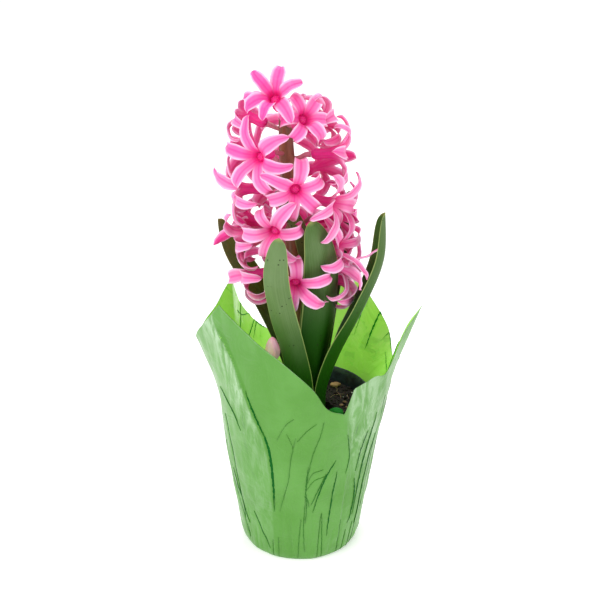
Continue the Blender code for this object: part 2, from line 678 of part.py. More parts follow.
def tepal_patch(matrix, place, shape, with_root):
    """A tepal's outline grown by the clearance, in the world, for testing."""
    rings = tepal_rings(place, shape, CLEARANCE)
    if with_root:
        wide = THROAT_RADIUS + CLEARANCE
        rings.insert(0, [throat_spot(2 * place, wide, TUBE_LENGTH),
                         throat_spot(2 * place + 1, wide - 1.2 * MM, TUBE_LENGTH),
                         throat_spot(2 * place + 2, wide, TUBE_LENGTH),
                         throat_spot(2 * place + 1, wide + 0.3 * MM, TUBE_LENGTH)])
    points = [matrix @ p for ring in rings[:-1] for p in ring] + [matrix @ rings[-1]]
    return points, tepal_skin(rings, 0)


def tube_patch(matrix, reach=0.0):
    """The tube and pedicel grown by the clearance, with the open space before the throat."""
    def spot(radius, height, k):
        return matrix @ polar(radius, math.pi * k / 3, height)

    outline = [(r * MM + CLEARANCE, z * MM) for r, z in TUBE_PROFILE]
    outline.append((THROAT_RADIUS + CLEARANCE, TUBE_LENGTH))
    if reach:
        outline.append((THROAT_RADIUS + 0.6 * reach, TUBE_LENGTH + reach))
    rings = [[spot(r, z, k) for k in range(6)] for r, z in outline]
    foot = matrix @ Vector((0.0, 0.0, -SEAT_GAP))
    root = scape_point(foot.z - 3 * MM)
    axis = (foot - root).normalized()
    stem = [ring_about(p, axis, PEDICEL_RADIUS + CLEARANCE, 6) for p in (root, foot)]
    tube_points, tube_faces = loft(rings)
    stem_points, stem_faces = loft(stem)
    shift = len(tube_points)
    return tube_points + stem_points, tube_faces + [tuple(i + shift for i in f) for f in stem_faces]


def place_florets(guard):
    """Frames of all the florets, each turned a little where a leaf or a neighbour is in its way."""
    frames = []
    for i in range(FLORETS):
        height = TOP_THROAT_HEIGHT - THROAT_DROP * i + THROAT_DROP_EASE * i * i
        pitch = 38.0 * math.exp(-i / 2.2) + blend(6.0, -10.0, i / (FLORETS - 1))
        turn, rise, _ = FLORET_SHIFTS.get(i, (0, 0, 0))
        azimuth = FIRST_AZIMUTH + GOLDEN_ANGLE * i + turn
        height += rise * MM
        for room, shift, drop in FRAME_CHOICES:
            matrix = floret_matrix(azimuth + shift, height - drop * MM, pitch)
            if guard.is_clear(*tube_patch(matrix, reach=room)):
                break
        frames.append(matrix)
        guard.add(*tube_patch(matrix, reach=room), owner=i)
    return frames


def tepal_choices(rng, index, floret_curl):
    """Shapes to try for a tepal, from a full curl to a short and narrow one."""
    curl = math.radians(floret_curl + rng.uniform(-40, 40))
    start = math.radians(rng.uniform(24, 46))
    ease = rng.uniform(0.85, 1.5)
    sweep = rng.uniform(-TEPAL_SWEEP, TEPAL_SWEEP)
    whole = blend(TOP_TEPAL_SHARE, 1.0, min(1.0, index / FULL_LENGTH_FLORET))
    for width in (1.0, 0.6):
        for length in (1.0, 0.93, 0.86, 0.78, 0.7, 0.6, 0.5, 0.4, 0.3):
            for opening in (1.0, 0.5, 0.1):
                for turn in (1.0, 0.85, 1.15, 0.7, 0.5, 0.3):
                    for lean in (0.0, 0.22, -0.22, 0.4, -0.4):
                        yield dict(length=whole * length, width=width, start=start * opening,
                                   end=curl * turn, ease=ease, lean=sweep + lean)


def floret_body(matrix, shapes):
    """Points and faces of one floret: tube, throat and six tepals as a single skin."""
    tube = tube_rings()
    points = [p for ring in tube[:3] for p in ring]
    faces = [tuple(range(TEPALS - 1, -1, -1))]
    for j in range(2):
        for k in range(TEPALS):
            a, b = 6 * j + k, 6 * j + (k + 1) % TEPALS
            faces.append((a, b, b + 6, a + 6))
    rim = len(points)
    points += tube[3]
    waist = rim - TEPALS
    for k in range(TEPALS):
        n = (k + 1) % TEPALS
        corner, keel, next_corner = rim + 2 * k, rim + 2 * k + 1, rim + 2 * n
        faces += [(waist + k, waist + n, keel), (waist + k, keel, corner),
                  (waist + n, next_corner, keel)]
    groove = len(points)
    points += [throat_spot(2 * k + 1, THROAT_RADIUS - 1.0 * MM, TUBE_LENGTH + 0.2 * MM)
               for k in range(TEPALS)]
    well = len(points)
    points.append(Vector((0.0, 0.0, TUBE_LENGTH - THROAT_DEPTH)))
    for k, shape in enumerate(shapes):
        corner, keel, next_corner = rim + 2 * k, rim + 2 * k + 1, rim + 2 * ((k + 1) % TEPALS)
        faces += [(well, corner, groove + k), (well, groove + k, next_corner)]
        rings = tepal_rings(k, shape)
        first = len(points)
        points += [p for ring in rings[:-1] for p in ring] + [rings[-1]]
        root = (corner, groove + k, next_corner, keel)
        for m in range(4):
            n = (m + 1) % 4
            if m < 2:
                faces += [(root[m], root[n], first + n), (root[m], first + n, first + m)]
            else:
                faces += [(root[m], root[n], first + m), (root[n], first + n, first + m)]
        faces += tepal_skin(rings, first)
    return [matrix @ p for p in points], faces


def build_florets(guard):
    rng = random.Random(FLORET_SEED)
    pink = make_material("hyacinth_pink", PINK, 0.4)
    frames = place_florets(guard)
    for i, matrix in enumerate(frames):
        spin = rng.uniform(0, 60) + FLORET_SHIFTS.get(i, (0, 0, 0))[2]
        matrix = matrix @ Matrix.Rotation(math.radians(spin), 4, "Z")
        floret_curl = rng.uniform(*FLORET_CURLS) if i else TOP_FLORET_CURL
        own = Guard()
        own.add(*tube_patch(matrix))
        shapes = []
        for place in range(TEPALS):
            for shape in tepal_choices(rng, i, floret_curl):
                whole = tepal_patch(matrix, place, shape, with_root=True)
                blade = tepal_patch(matrix, place, shape, with_root=False)
                if own.is_clear(*blade) and guard.is_clear(*whole, asker=i):
                    break
            shapes.append(shape)
            own.add(*blade)
            guard.add(*whole, owner=i)
        points, faces = floret_body(matrix, shapes)
        add_object(f"floret_{i + 1:02d}", points, faces, pink)
    return frames


def build_flower_stalk(frames):
    path = smooth_path(scaled(SCAPE_PATH), 11)
    radii = []
    for j in range(len(path)):
        share = j / (len(path) - 1) * (len(SCAPE_RADII) - 1)
        radii.append(table_value(list(enumerate(SCAPE_RADII)), share) * CM)
    rings = [ring_about(p, UP, r, SCAPE_SIDES) for p, r in zip(path, radii)]
    rings.append(ring_about(path[-1] + UP * 2.5 * MM, UP, radii[-1] * 0.6, SCAPE_SIDES))
    brown = make_material("scape_brown", (0.2, 0.09, 0.035), 0.5)
    stalk = add_object("flower_stalk", *loft(rings), brown)
    stems = bpy.data.collections.new("pedicels")
    bpy.context.scene.collection.children.link(stems)
    for i, matrix in enumerate(frames):
        foot = matrix @ Vector((0.0, 0.0, -SEAT_GAP))
        root = scape_point(min(foot.z - 3 * MM, path[-1].z - (1 + 2 * i) * MM))
        axis = (foot - root).normalized()
        facing = (matrix.to_3x3() @ UP).normalized()
        side = axis.orthogonal()
        rings = [ring_about(root, axis, PEDICEL_RADIUS * 1.2, 6, side),
                 ring_about(root.lerp(foot, 0.75), axis, PEDICEL_RADIUS, 6, side),
                 ring_about(foot, facing, PEDICEL_RADIUS, 6, side)]
        stem = add_object("pedicel", *loft(rings), brown)
        bpy.context.collection.objects.unlink(stem)
        stems.objects.link(stem)
    apply_boolean(stalk, "UNION", operand_collection=stems)
    for stem in list(stems.objects):
        bpy.data.objects.remove(stem, do_unlink=True)
    bpy.data.collections.remove(stems)


def main():
    clear_scene()
    build_wrap()
    build_pot()
    build_soil()
    build_bulb()
    build_chip()
    build_side_stalk()
    guard = Guard()
    build_leaves(guard)
    frames = build_florets(guard)
    build_flower_stalk(frames)


main()
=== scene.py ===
"""Looks of a flowering hyacinth in a nursery pot, stood in a gathered green film cover.

Metres, +Z up, -Y is the front. Lists of places are in centimetres and are scaled as they are
read. The plant's control points, sizes and placing rules are the ones its solids are built from.
"""

import math
import random

import bmesh
import bpy
import numpy as np
from mathutils import Matrix, Vector, noise
from mathutils.bvhtree import BVHTree


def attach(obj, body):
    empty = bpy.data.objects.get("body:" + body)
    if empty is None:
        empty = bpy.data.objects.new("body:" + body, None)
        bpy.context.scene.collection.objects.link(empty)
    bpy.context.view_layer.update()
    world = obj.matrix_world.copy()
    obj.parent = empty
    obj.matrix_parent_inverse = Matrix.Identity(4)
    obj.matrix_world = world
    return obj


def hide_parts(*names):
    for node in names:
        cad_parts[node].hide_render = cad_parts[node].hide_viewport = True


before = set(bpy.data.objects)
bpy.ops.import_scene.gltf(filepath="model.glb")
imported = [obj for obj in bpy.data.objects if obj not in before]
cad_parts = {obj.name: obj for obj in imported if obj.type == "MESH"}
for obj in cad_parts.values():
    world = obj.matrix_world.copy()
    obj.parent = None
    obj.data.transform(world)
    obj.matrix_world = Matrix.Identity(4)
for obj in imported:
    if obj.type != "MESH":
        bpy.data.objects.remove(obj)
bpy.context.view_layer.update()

CM = 0.01
MM = 0.001
UP = Vector((0.0, 0.0, 1.0))
ORIGIN = Vector((0.0, 0.0, 0.0))
SHARP_ANGLE = 60.0  # edges sharper than this many degrees are not smoothed over
SEAT_GAP = 0.3 * MM
SEED = 43
FLORET_SEED = 341

# Film cover
SHEET = 0.25 * MM  # thickness of the film as it is seen
FILM_BASE_RADIUS = 3.85 * CM
FILM_WALL_RADIUS = 4.08 * CM  # the wall's line carried down to the base
FILM_WALL_SLOPE = 0.148
FILM_RING_HEIGHT = 10.7 * CM  # the flaps begin here
FILM_FLARE = 1.2
FILM_BASE_EASE = 0.25 * CM  # the wall rounds into the base over this height
FILM_COLUMNS = 360
FILM_WALL_ROWS = 72
FILM_FLAP_ROWS = 54
FILM_BASE_SHARES = [0.97, 0.88, 0.74, 0.56, 0.36, 0.17]
# The free edge: degrees round from +X, radius and height in cm. Four flaps and the front notch.
FILM_EDGE = [
    (-180, 7.0, 15.4), (-160, 6.6, 17.6), (-146, 6.2, 19.4), (-126, 5.9, 18.0),
    (-101, 5.9, 16.3), (-82, 5.75, 14.4), (-72, 5.8, 12.8), (-61, 6.05, 12.3),
    (-55, 6.15, 14.1), (-39, 6.35, 14.4), (-28, 6.5, 14.3), (-13, 7.1, 16.4),
    (-2, 8.2, 18.0), (9, 7.25, 15.3), (20, 6.95, 12.6), (33, 7.3, 14.2),
    (48, 7.3, 16.0), (61, 7.2, 17.9), (82, 6.9, 15.6), (107, 6.5, 12.9),
    (130, 6.15, 15.3), (147, 5.5, 18.4), (163, 6.1, 16.8),
]
FILM_CORNERS = (-146, -61, -55, -2, 147)  # azimuths where the free edge turns sharply
NOTCH_TURNS = (-72.0, -61.0)  # azimuths between which the film is tucked in at the notch
WELT_LIFT = 0.3 * MM  # of a crease's edges above the film
WELT_DEPTH = 0.45 * MM  # of a crease's keel under its edges
CREASE_REACH = {"out": 1.25, "in": 0.8}  # fullness of the creases on each face
FILM_FRONT_DENSITY = 0.5  # columns lie this share closer together at the front
FOLD_FADE = 0.6 * CM  # a fold rises from its ends over this height
FOLD_SHOULDER = 0.35  # how far the film beside a fold gives way, as a share of its depth
LAP_STEP = 1.6  # mm over which a lap steps down to the film under it
LAP_FALL = 3.0  # mm over which the film under a lap comes back to its place
# Whitish painted highlight on the crinkled film beside the front laps, and the strips where it lies:
CRINKLE_HIGHLIGHT = (0.36, 0.56, 0.31)
CRINKLE_LEFT = (1.5, 9, 16)  # mm over which the pale strip begins, its width and its fall
CRINKLE_RIGHT = (4, 22, 14)
# Waves: seed, how many round the film and to a cm of height, size on the wall and on the flaps
FILM_WAVES = [(3.0, 16, 0.22, 0.9 * MM, 1.5 * MM), (9.0, 44, 0.5, 0.45 * MM, 0.45 * MM)]
FILM_ROW_EASE = 1.15  # rows of the wall lie closer together at its foot
FILM_SHIFT_EASE = 3  # how late the wall leans over to the pot's middle
# Strength of the whitish painted highlight:
EDGE_HIGHLIGHT = 0.6  # of the free edge
INNER_HIGHLIGHT = 0.3  # of the inner face, as a share of the outer face's
GATHER_HEIGHT = 0.25 * MM  # of the gathers under the base
GATHER_TURN = 23  # degrees from column to column
FOOT_RELIEF = 0.6  # share of folds and waves left at the very foot
FOOT_RELIEF_HEIGHT = 0.5 * CM
TUCK_SET_BACK = (1.0 * MM, 2.6 * MM)  # of the tuck's foot and head behind the film
TUCK_DROP = 2.0 * MM
TUCK_RISE = 4.0 * MM
TUCK_THICKNESS = 0.4 * MM
# Folds: (azimuth, height) points, how far the left lip or the valley stands out or in (mm), its
# width (mm), and whether it is an overlap or a valley
FOLDS = [
    ([(-152, 17.6), (-139, 15.6), (-130, 13.5), (-122, 11.7), (-116, 10.3), (-113, 8.8),
      (-112.6, 6.9), (-113, 4.3)], 1.2, 5.0, "lap"),
    ([(-168, 8.0), (-163, 5.7), (-155, 3.6), (-147, 0.8)], 1.2, 1.6, "valley"),
    ([(-158, 10.6), (-153, 8.0), (-150, 5.0), (-149, 2.4)], 0.9, 1.6, "valley"),
    ([(-134, 3.6), (-127, 2.2), (-119, 0.8)], 0.8, 1.5, "valley"),
    ([(-64, 8.6), (-70, 7.4), (-79.5, 4.3)], 0.6, 1.4, "valley"),
    ([(-59, 11.8), (-57.5, 10.4), (-54, 9.0), (-52, 7.6), (-54, 4.8), (-54, 1.2)], 1.2, 5.0, "lap"),
    ([(-35, 11.6), (-39, 10.2), (-43, 8.8), (-44, 7.0), (-41, 4.8), (-43, 2.5)], 1.4, 4.0, "lap"),
    ([(-74, 11.9), (-77, 10.6), (-81.6, 9.0), (-85.4, 6.3)], 0.35, 1.6, "valley"),
    ([(-93, 10.7), (-97, 8.6), (-99, 7.0), (-107, 4.3)], 0.35, 1.8, "valley"),
    ([(-86, 5.0), (-87, 3.0), (-86, 0.8)], 0.4, 1.4, "valley"),
]
# The whitish painted highlight of the crinkled film lies outside these two laps.
LEFT_LAP, RIGHT_LAP = 0, 5    # of the folds: the crinkled pale film lies outside these two
# Pinched creases: (azimuth, height) points, half their width in mm, and the face they lie on.
# Some run along a fold. Their dark colour is painted shade of the folds.
CREASES = [
    ([(-116, 10.8), (-112.2, 9.2), (-111.2, 7.4), (-111.4, 5.6), (-112, 4.2)], 0.85, "out"),
    ([(-129, 13.6), (-121, 11.7), (-115.2, 10.4)], 0.5, "out"),
    ([(-160, 12.6), (-152, 12.0), (-143, 11.3), (-137, 10.2)], 0.5, "out"),
    (FOLDS[1][0], 0.6, "out"),
    (FOLDS[2][0], 0.35, "out"),
    ([(-156, 6.3), (-151, 4.6), (-143, 2.2)], 0.4, "out"),
    (FOLDS[3][0], 0.35, "out"),
    ([(-64, 8.6), (-70, 7.4), (-75, 5.9), (-79.5, 4.3)], 0.4, "out"),
    ([(-70.5, 7.6), (-76, 6.2), (-81, 5.0)], 0.28, "out"),
    ([(-84, 8.3), (-85.5, 6.4), (-84.6, 5.0), (-85.6, 3.4)], 0.25, "out"),
    ([(-62, 7.6), (-63.5, 6.0), (-65, 3.4), (-65.5, 2.0)], 0.4, "out"),
    ([(-57.5, 10.6), (-55.2, 9.6), (-53.4, 8.6), (-54.5, 7.2)], 0.3, "out"),
    ([(-39, 10.2), (-43, 8.8), (-44, 7.0)], 0.55, "out"),
    ([(-44, 6.4), (-42, 4.8), (-44, 2.5)], 0.45, "out"),
    ([(-30, 11.2), (-33, 8.6), (-36, 6.0), (-38, 3.0)], 0.5, "out"),
    ([(-24, 9.2), (-29, 5.4), (-32, 2.0)], 0.4, "out"),
    (FOLDS[7][0] + [(-86, 4.6)], 0.16, "out"),
    (FOLDS[8][0], 0.14, "out"),
    ([(-79, 11.8), (-86, 11.2), (-92, 10.4)], 0.12, "out"),
    (FOLDS[9][0], 0.18, "out"),
    ([(38, 16.2), (40.5, 14.0), (42, 12.2)], 0.9, "in"),
    ([(24, 16.0), (28, 14.6), (33, 13.2)], 0.5, "in"),
    ([(15, 14.8), (11, 13.8), (10, 12.4), (12, 11.4)], 1.1, "in"),
    ([(20, 14.4), (14, 14.2), (8, 13.6)], 0.9, "in"),
    ([(55, 17.2), (50, 15.0), (52, 13.0)], 0.4, "in"),
    ([(27, 12.6), (22, 12.0), (15, 11.8)], 0.4, "in"),
    ([(120, 14.2), (128, 13.2), (139, 12.6)], 0.8, "in"),
    ([(132, 17.0), (136, 14.6), (146, 13.0)], 0.5, "in"),
    ([(112, 15.6), (119, 14.0), (124, 12.8)], 0.6, "in"),
    ([(140, 15.6), (133, 14.9), (124, 14.6)], 0.5, "in"),
    ([(-84, 6.9), (-80.5, 7.7), (-73, 8.0)], 0.1, "out"),
    ([(-85, 6.3), (-79, 7.1), (-71, 7.4)], 0.12, "out"),
    ([(-86.5, 5.8), (-84, 5.5), (-82.5, 4.8)], 0.22, "out"),
    ([(-99, 11.0), (-95, 9.9), (-97, 8.8)], 0.08, "out"),
    ([(-106, 10.4), (-100, 11.6), (-94, 12.2)], 0.08, "out"),
]
# The pieces the creases of each face make, with their dark and their faint colour: painted shade of the
# folds, faint on thin creases
CREASE_SHADOW_PIECES = {"out": ("film_crease_shadows", (0.001, 0.11, 0.009), (0.08, 0.27, 0.03)),
                 "in": ("film_inner_crease_shadows", (0.015, 0.34, 0.01), (0.3, 0.8, 0.07))}
PLEATS = 58  # small tucks round the foot
BACK_FOLDS = 15  # longer folds round the sides and back

# Pot
POT_CENTRE = Vector((0.2 * CM, 0.0, 0.0))
POT_HEIGHT = 11.0 * CM
POT_RIM_RADIUS = 4.7 * CM
POT_BASE_RADIUS = 3.3 * CM
POT_FLOOR = 0.75 * MM + SEAT_GAP
POT_FOOT_BEVEL = 1.5 * MM
POT_WALL = 1.0 * MM
POT_RIM_BAND = 8.0 * MM
POT_RIM_PROUD = 1.6 * MM
POT_LIP = 0.7 * MM  # radius of the rounded lip

# Plant
PLANT_CENTRE = Vector((0.8 * CM, -0.45 * CM, 0.0))
SOIL_TOP = 10.0 * CM
SOIL_RELIEF = 1.6 * MM
NECK_HOLE_RADIUS = 1.62 * CM
# Grains on the soil: how many, sizes in mm, how high they sit and how flat they are
LITTER = [(420, (0.4, 1.5), 0.3, (0.5, 0.9)), (44, (0.7, 1.7), 0.5, 0.4), (16, (0.35, 0.8), 0.6, 0.9)]
ROOTLETS = 30
ROOTLET_RADIUS = 0.16 * MM
BULB_NECK_TOP = 9.45 * CM
BULB_PROFILE = [(0.9, -5.2), (1.75, -4.7), (2.25, -3.4), (2.2, -2.5), (1.8, -1.3), (1.55, -0.45),
                (1.5, -0.12), (1.42, 0.0), (1.0, -0.12), (0.2, -0.2)]
SIDE_STALK_PATH = [(-1.2, -1.75, 9.2), (-1.22, -1.75, 10.0), (-1.42, -1.75, 11.6), (-1.75, -1.8, 13.2),
                   (-1.8, -1.8, 14.5)]
SIDE_STALK_RADIUS = 2.4 * MM
SIDE_BUD_LENGTH = 17.0 * MM
SIDE_BUD_RADIUS = 5.0 * MM
SIDE_BUD_SHAPE = [(0.0, 0.02), (0.01, 0.42), (0.06, 0.62), (0.18, 0.9), (0.34, 1.0), (0.48, 1.0),
                  (0.64, 0.9), (0.79, 0.7), (0.9, 0.48), (0.97, 0.25), (1.0, 0.03)]
CHIP_CENTRE = Vector((2.5 * CM, 2.85 * CM, 0.0))
CHIP_SIZE = (8.0 * MM, 5.0 * MM, 2.2 * MM)
SCAPE_PATH = [(0.8, -0.45, 9.48), (0.5, -0.25, 12.3), (0.1, -0.05, 16.3), (-0.3, 0.0, 21.0),
              (-0.65, 0.0, 25.5), (-0.87, 0.0, 29.0), (-0.95, 0.0, 31.2)]
SCAPE_RADII = [0.5, 0.5, 0.5, 0.52, 0.55, 0.52, 0.4]
PEDICEL_RADIUS = 1.5 * MM

# Florets
FLORETS = 26
GOLDEN_ANGLE = 137.5
FIRST_AZIMUTH = -108.0
TOP_THROAT_HEIGHT = 32.6 * CM
THROAT_DROP = 0.72 * CM
THROAT_DROP_EASE = 0.0078 * CM
TOP_REACH = 2.1 * CM
FULL_REACH = 3.1 * CM
REACH_DEPTH = 5.0 * CM
TUBE_LENGTH = 15.0 * MM
TUBE_PROFILE = [(1.7, 0.0), (3.3, 3.6), (2.9, 9.0)]
THROAT_RADIUS = 4.3 * MM
THROAT_ROOM = [6.5 * MM, 5.0 * MM, 3.0 * MM]
TEPALS = 6
TEPAL_LENGTH = 28.0 * MM
TEPAL_WIDTH = 9.8 * MM
TEPAL_FRONT = 0.25 * MM
TEPAL_BACK = 0.7 * MM
TEPAL_CUP = 0.13
TEPAL_STEPS = [0.17, 0.35, 0.53, 0.7, 0.87]
TEPAL_SHAPE = [(0.0, 0.6), (0.2, 0.86), (0.42, 1.0), (0.65, 0.88), (0.87, 0.56), (1.0, 0.1)]
INNER_TEPAL_WIDTH = 0.9
FULL_LENGTH_FLORET = 5
TOP_TEPAL_SHARE = 0.72
TOP_FLORET_CURL = 135.0
FLORET_CURLS = (165.0, 245.0)
TEPAL_SWEEP = 0.2
CLEARANCE = 0.35 * MM
FLORET_SHIFTS = {0: (0, 2, 18), 1: (-90, -4, 0), 3: (80, 0, 0), 5: (16, -1, 0), 8: (7, -2, 0),
                 11: (8, 0, 30), 13: (10, -3, 0), 16: (38, -6, 0), 18: (5, 3, 0), 19: (-10, 0, 0),
                 21: (10, 4, 0), 24: (52, 3, 0)}
FRAME_CHOICES = [(room, shift * side, drop) for room in THROAT_ROOM
                 for shift in (0, 6, 12, 18, 25, 32, 40, 48) for drop in (0, 3, -3, 6, -6)
                 for side in (1, -1)]

# Middle line, widths in cm at the foot and at the widest, where that is, how blunt the tip is, how
# far the halves are folded up at the foot and the tip, and how the blade is turned and its keel set
LEAVES = {
    "leaf_front_left": dict(
        spine=[(0.12, -1.5, 9.55), (-0.08, -2.0, 12.2), (-0.5, -2.75, 15.3), (-1.2, -3.8, 18.7),
               (-1.6, -4.65, 21.7), (-1.3, -5.1, 24.75)],
        foot=1.7, width=2.15, widest=0.25, blunt=7.0, fold=(35, 20)),
    "leaf_middle": dict(
        spine=[(1.12, -1.1, 9.55), (1.12, -1.25, 12.2), (1.35, -1.7, 15.4), (1.65, -2.3, 19.05),
               (1.38, -2.9, 22.5), (0.7, -3.3, 25.15)],
        foot=1.2, width=3.3, widest=0.55, blunt=2.4, fold=(45, 12)),
    "leaf_right": dict(
        spine=[(1.6, -1.38, 9.55), (1.68, -1.5, 12.1), (2.65, -1.6, 15.0), (4.2, -1.65, 18.4),
               (5.42, -1.3, 21.6), (5.5, -0.8, 24.75)],
        foot=1.0, width=2.9, widest=0.42, blunt=6.0, fold=(40, 48), turn=12, keel=0.15),
    "leaf_far_left": dict(
        spine=[(-0.15, 0.32, 9.55), (-0.75, 0.85, 12.3), (-1.7, 1.5, 15.2), (-3.25, 2.1, 18.2),
               (-4.8, 2.4, 20.9), (-5.5, 2.4, 23.0)],
        foot=1.2, width=2.5, widest=0.65, blunt=3.5, fold=(42, 22)),
    "leaf_inner": dict(
        spine=[(0.1, -0.75, 9.55), (0.3, -0.87, 12.5), (0.6, -1.07, 16.5), (0.75, -1.25, 20.0),
               (0.15, -1.5, 23.4), (-1.0, -1.7, 25.5), (-2.3, -1.85, 27.0)],
        foot=0.8, width=1.4, widest=0.5, blunt=3.0, fold=(35, 25)),
    "leaf_back": dict(
        spine=[(1.25, 0.28, 9.55), (1.6, 0.85, 12.5), (2.2, 1.6, 16.5), (2.85, 2.3, 20.0),
               (3.35, 2.8, 22.8), (3.3, 2.9, 24.8)],
        foot=1.4, width=2.1, widest=0.55, blunt=3.5, fold=(40, 28)),
}
LEAF_STATIONS = 13
LEAF_COLUMNS = [-1.0, -0.55, 0.0, 0.55, 1.0]
FINE_LEAF_COLUMNS = [math.sin(0.5 * math.pi * (k / 9 - 1)) for k in range(19)]
LEAF_TAPER = 0.85  # a leaf narrows to this share, before its tip rounds off
LEAF_TIP = 0.12  # the last station's share of the widest width
LEAF_ROUNDING = 0.03  # share of a leaf's length over which its very tip rounds off
LEAF_KEEL_ROUND = 0.3  # rounding of the keel, as a share of half the width
LEAF_EDGE = 0.65 * MM
LEAF_RIB = 1.5 * MM


# ---------------- general helpers

def blend(a, b, t):
    return a + (b - a) * t


def polar(radius, azimuth, height=0.0):
    return Vector((radius * math.cos(azimuth), radius * math.sin(azimuth), height))


def table_value(table, x):
    """Straight-line value between (x, value) pairs."""
    for (x0, v0), (x1, v1) in zip(table, table[1:]):
        if x <= x1:
            return blend(v0, v1, (x - x0) / (x1 - x0))
    return table[-1][1]


def smooth_path(control, count):
    """Evenly spaced points along the smooth curve through the control points (Catmull-Rom)."""
    ends = [control[0] * 2 - control[1]] + list(control) + [control[-1] * 2 - control[-2]]
    dense = []
    for a, b, c, d in zip(ends, ends[1:], ends[2:], ends[3:]):
        for step in range(12):
            t = step / 12
            dense.append(0.5 * (2 * b + (c - a) * t + (2 * a - 5 * b + 4 * c - d) * t * t
                                + (3 * b - a - 3 * c + d) * t ** 3))
    dense.append(control[-1])
    lengths = [0.0]
    for p, q in zip(dense, dense[1:]):
        lengths.append(lengths[-1] + (q - p).length)
    path = []
    at = 0
    for step in range(count):
        goal = lengths[-1] * step / (count - 1)
        while at < len(dense) - 2 and lengths[at + 1] < goal:
            at += 1
        span = lengths[at + 1] - lengths[at]
        path.append(dense[at].lerp(dense[at + 1], (goal - lengths[at]) / span))
    return path


def tangents(path):
    last = len(path) - 1
    return [(path[min(i + 1, last)] - path[max(i - 1, 0)]).normalized() for i in range(last + 1)]


def scaled(points):
    return [Vector(p) * CM for p in points]


def circle(centre, radius, height, sides, ripple=lambda turn: 1.0):
    """A level ring of points round a centre, its radius rippled by the turn."""
    turns = [math.tau * k / sides for k in range(sides)]
    return [centre + polar(radius * ripple(turn), turn, height) for turn in turns]


def lofted(rings):
    """Points and faces of a closed body through rings of equal count."""
    count = len(rings[0])
    last = (len(rings) - 1) * count
    faces = [(low + k, low + (k + 1) % count, low + count + (k + 1) % count, low + count + k)
             for low in range(0, last, count) for k in range(count)]
    faces += [tuple(range(count - 1, -1, -1)), tuple(range(last, last + count))]
    return [p for ring in rings for p in ring], faces


def side_triangles(rings, blade):
    """Triangles between rings of equal count. The back of a blade is split the other way."""
    count = len(rings[0])
    faces = []
    for low in range(0, (len(rings) - 1) * count, count):
        for k in range(count):
            a, b = low + k, low + (k + 1) % count
            c, d = b + count, a + count
            other_way = blade and k >= count // 2
            faces += [(a, b, d), (b, c, d)] if other_way else [(a, b, c), (a, c, d)]
    return faces


def loft_triangles(rings, blade=False):
    """Points and triangles of a closed body, as the solids have them, for the placing rules."""
    points, faces = lofted(rings)
    if not blade:
        return points, side_triangles(rings, False) + faces[-2:]
    faces = side_triangles(rings, True)
    count = len(rings[0])
    for first in (0, len(points) - count):
        for k in range(count // 2 - 1):
            a, b, c, d = first + k, first + k + 1, first + count - 2 - k, first + count - 1 - k
            faces += [(a, b, c), (a, c, d)] if first else [(a, d, c), (a, c, b)]
    return points, faces


def ring_about(centre, axis, radius, sides, towards=None):
    """A circle of points square to the axis. The first lies towards a given direction."""
    side = towards or axis.orthogonal()
    side = (side - axis * side.dot(axis)).normalized()
    other = axis.cross(side)
    angles = [2 * math.pi * k / sides for k in range(sides)]
    return [centre + radius * (math.cos(a) * side + math.sin(a) * other) for a in angles]


def linked(name, data):
    """An object of the given data, in the scene."""
    made = bpy.data.objects.new(name, data)
    bpy.context.scene.collection.objects.link(made)
    return made


def add_piece(name, points, faces, materials, slot, replaced=(), attributes=None, indices=None,
              turn_out=True):
    """A smooth mesh in the object's frame, riding with it. Its attributes are one value a point."""
    mesh = bpy.data.meshes.new(name)
    mesh.from_pydata([tuple(p) for p in points], [], faces)
    for material in materials:
        mesh.materials.append(material)
    if indices is not None:
        mesh.polygons.foreach_set("material_index", indices)
    for key, values in (attributes or {}).items():
        mesh.attributes.new(key, "FLOAT", "POINT").data.foreach_set("value", values)
    if turn_out:
        work = bmesh.new()
        work.from_mesh(mesh)
        bmesh.ops.recalc_face_normals(work, faces=work.faces)
        work.to_mesh(mesh)
        work.free()
    mesh.shade_smooth()
    mesh.set_sharp_from_angle(angle=math.radians(SHARP_ANGLE))
    piece = linked(name, mesh)
    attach(piece, "root")
    if replaced:
        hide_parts(*replaced)


class Body:
    """Points, faces and attributes gathered from many closed shapes into one piece."""

    def __init__(self, *keys):
        self.points = []
        self.faces = []
        self.attributes = {key: [] for key in keys}

    def add(self, points, faces, **values):
        """values gives one number for the whole shape, or a list with one for each point."""
        shift = len(self.points)
        self.points += points
        self.faces += [tuple(i + shift for i in face) for face in faces]
        for key, stored in self.attributes.items():
            value = values[key]
            stored += value if isinstance(value, list) else [value] * len(points)

    def piece(self, name, material, slot, *replaced):
        add_piece(name, self.points, self.faces, [material], slot, replaced, self.attributes)


# ---------------- materials

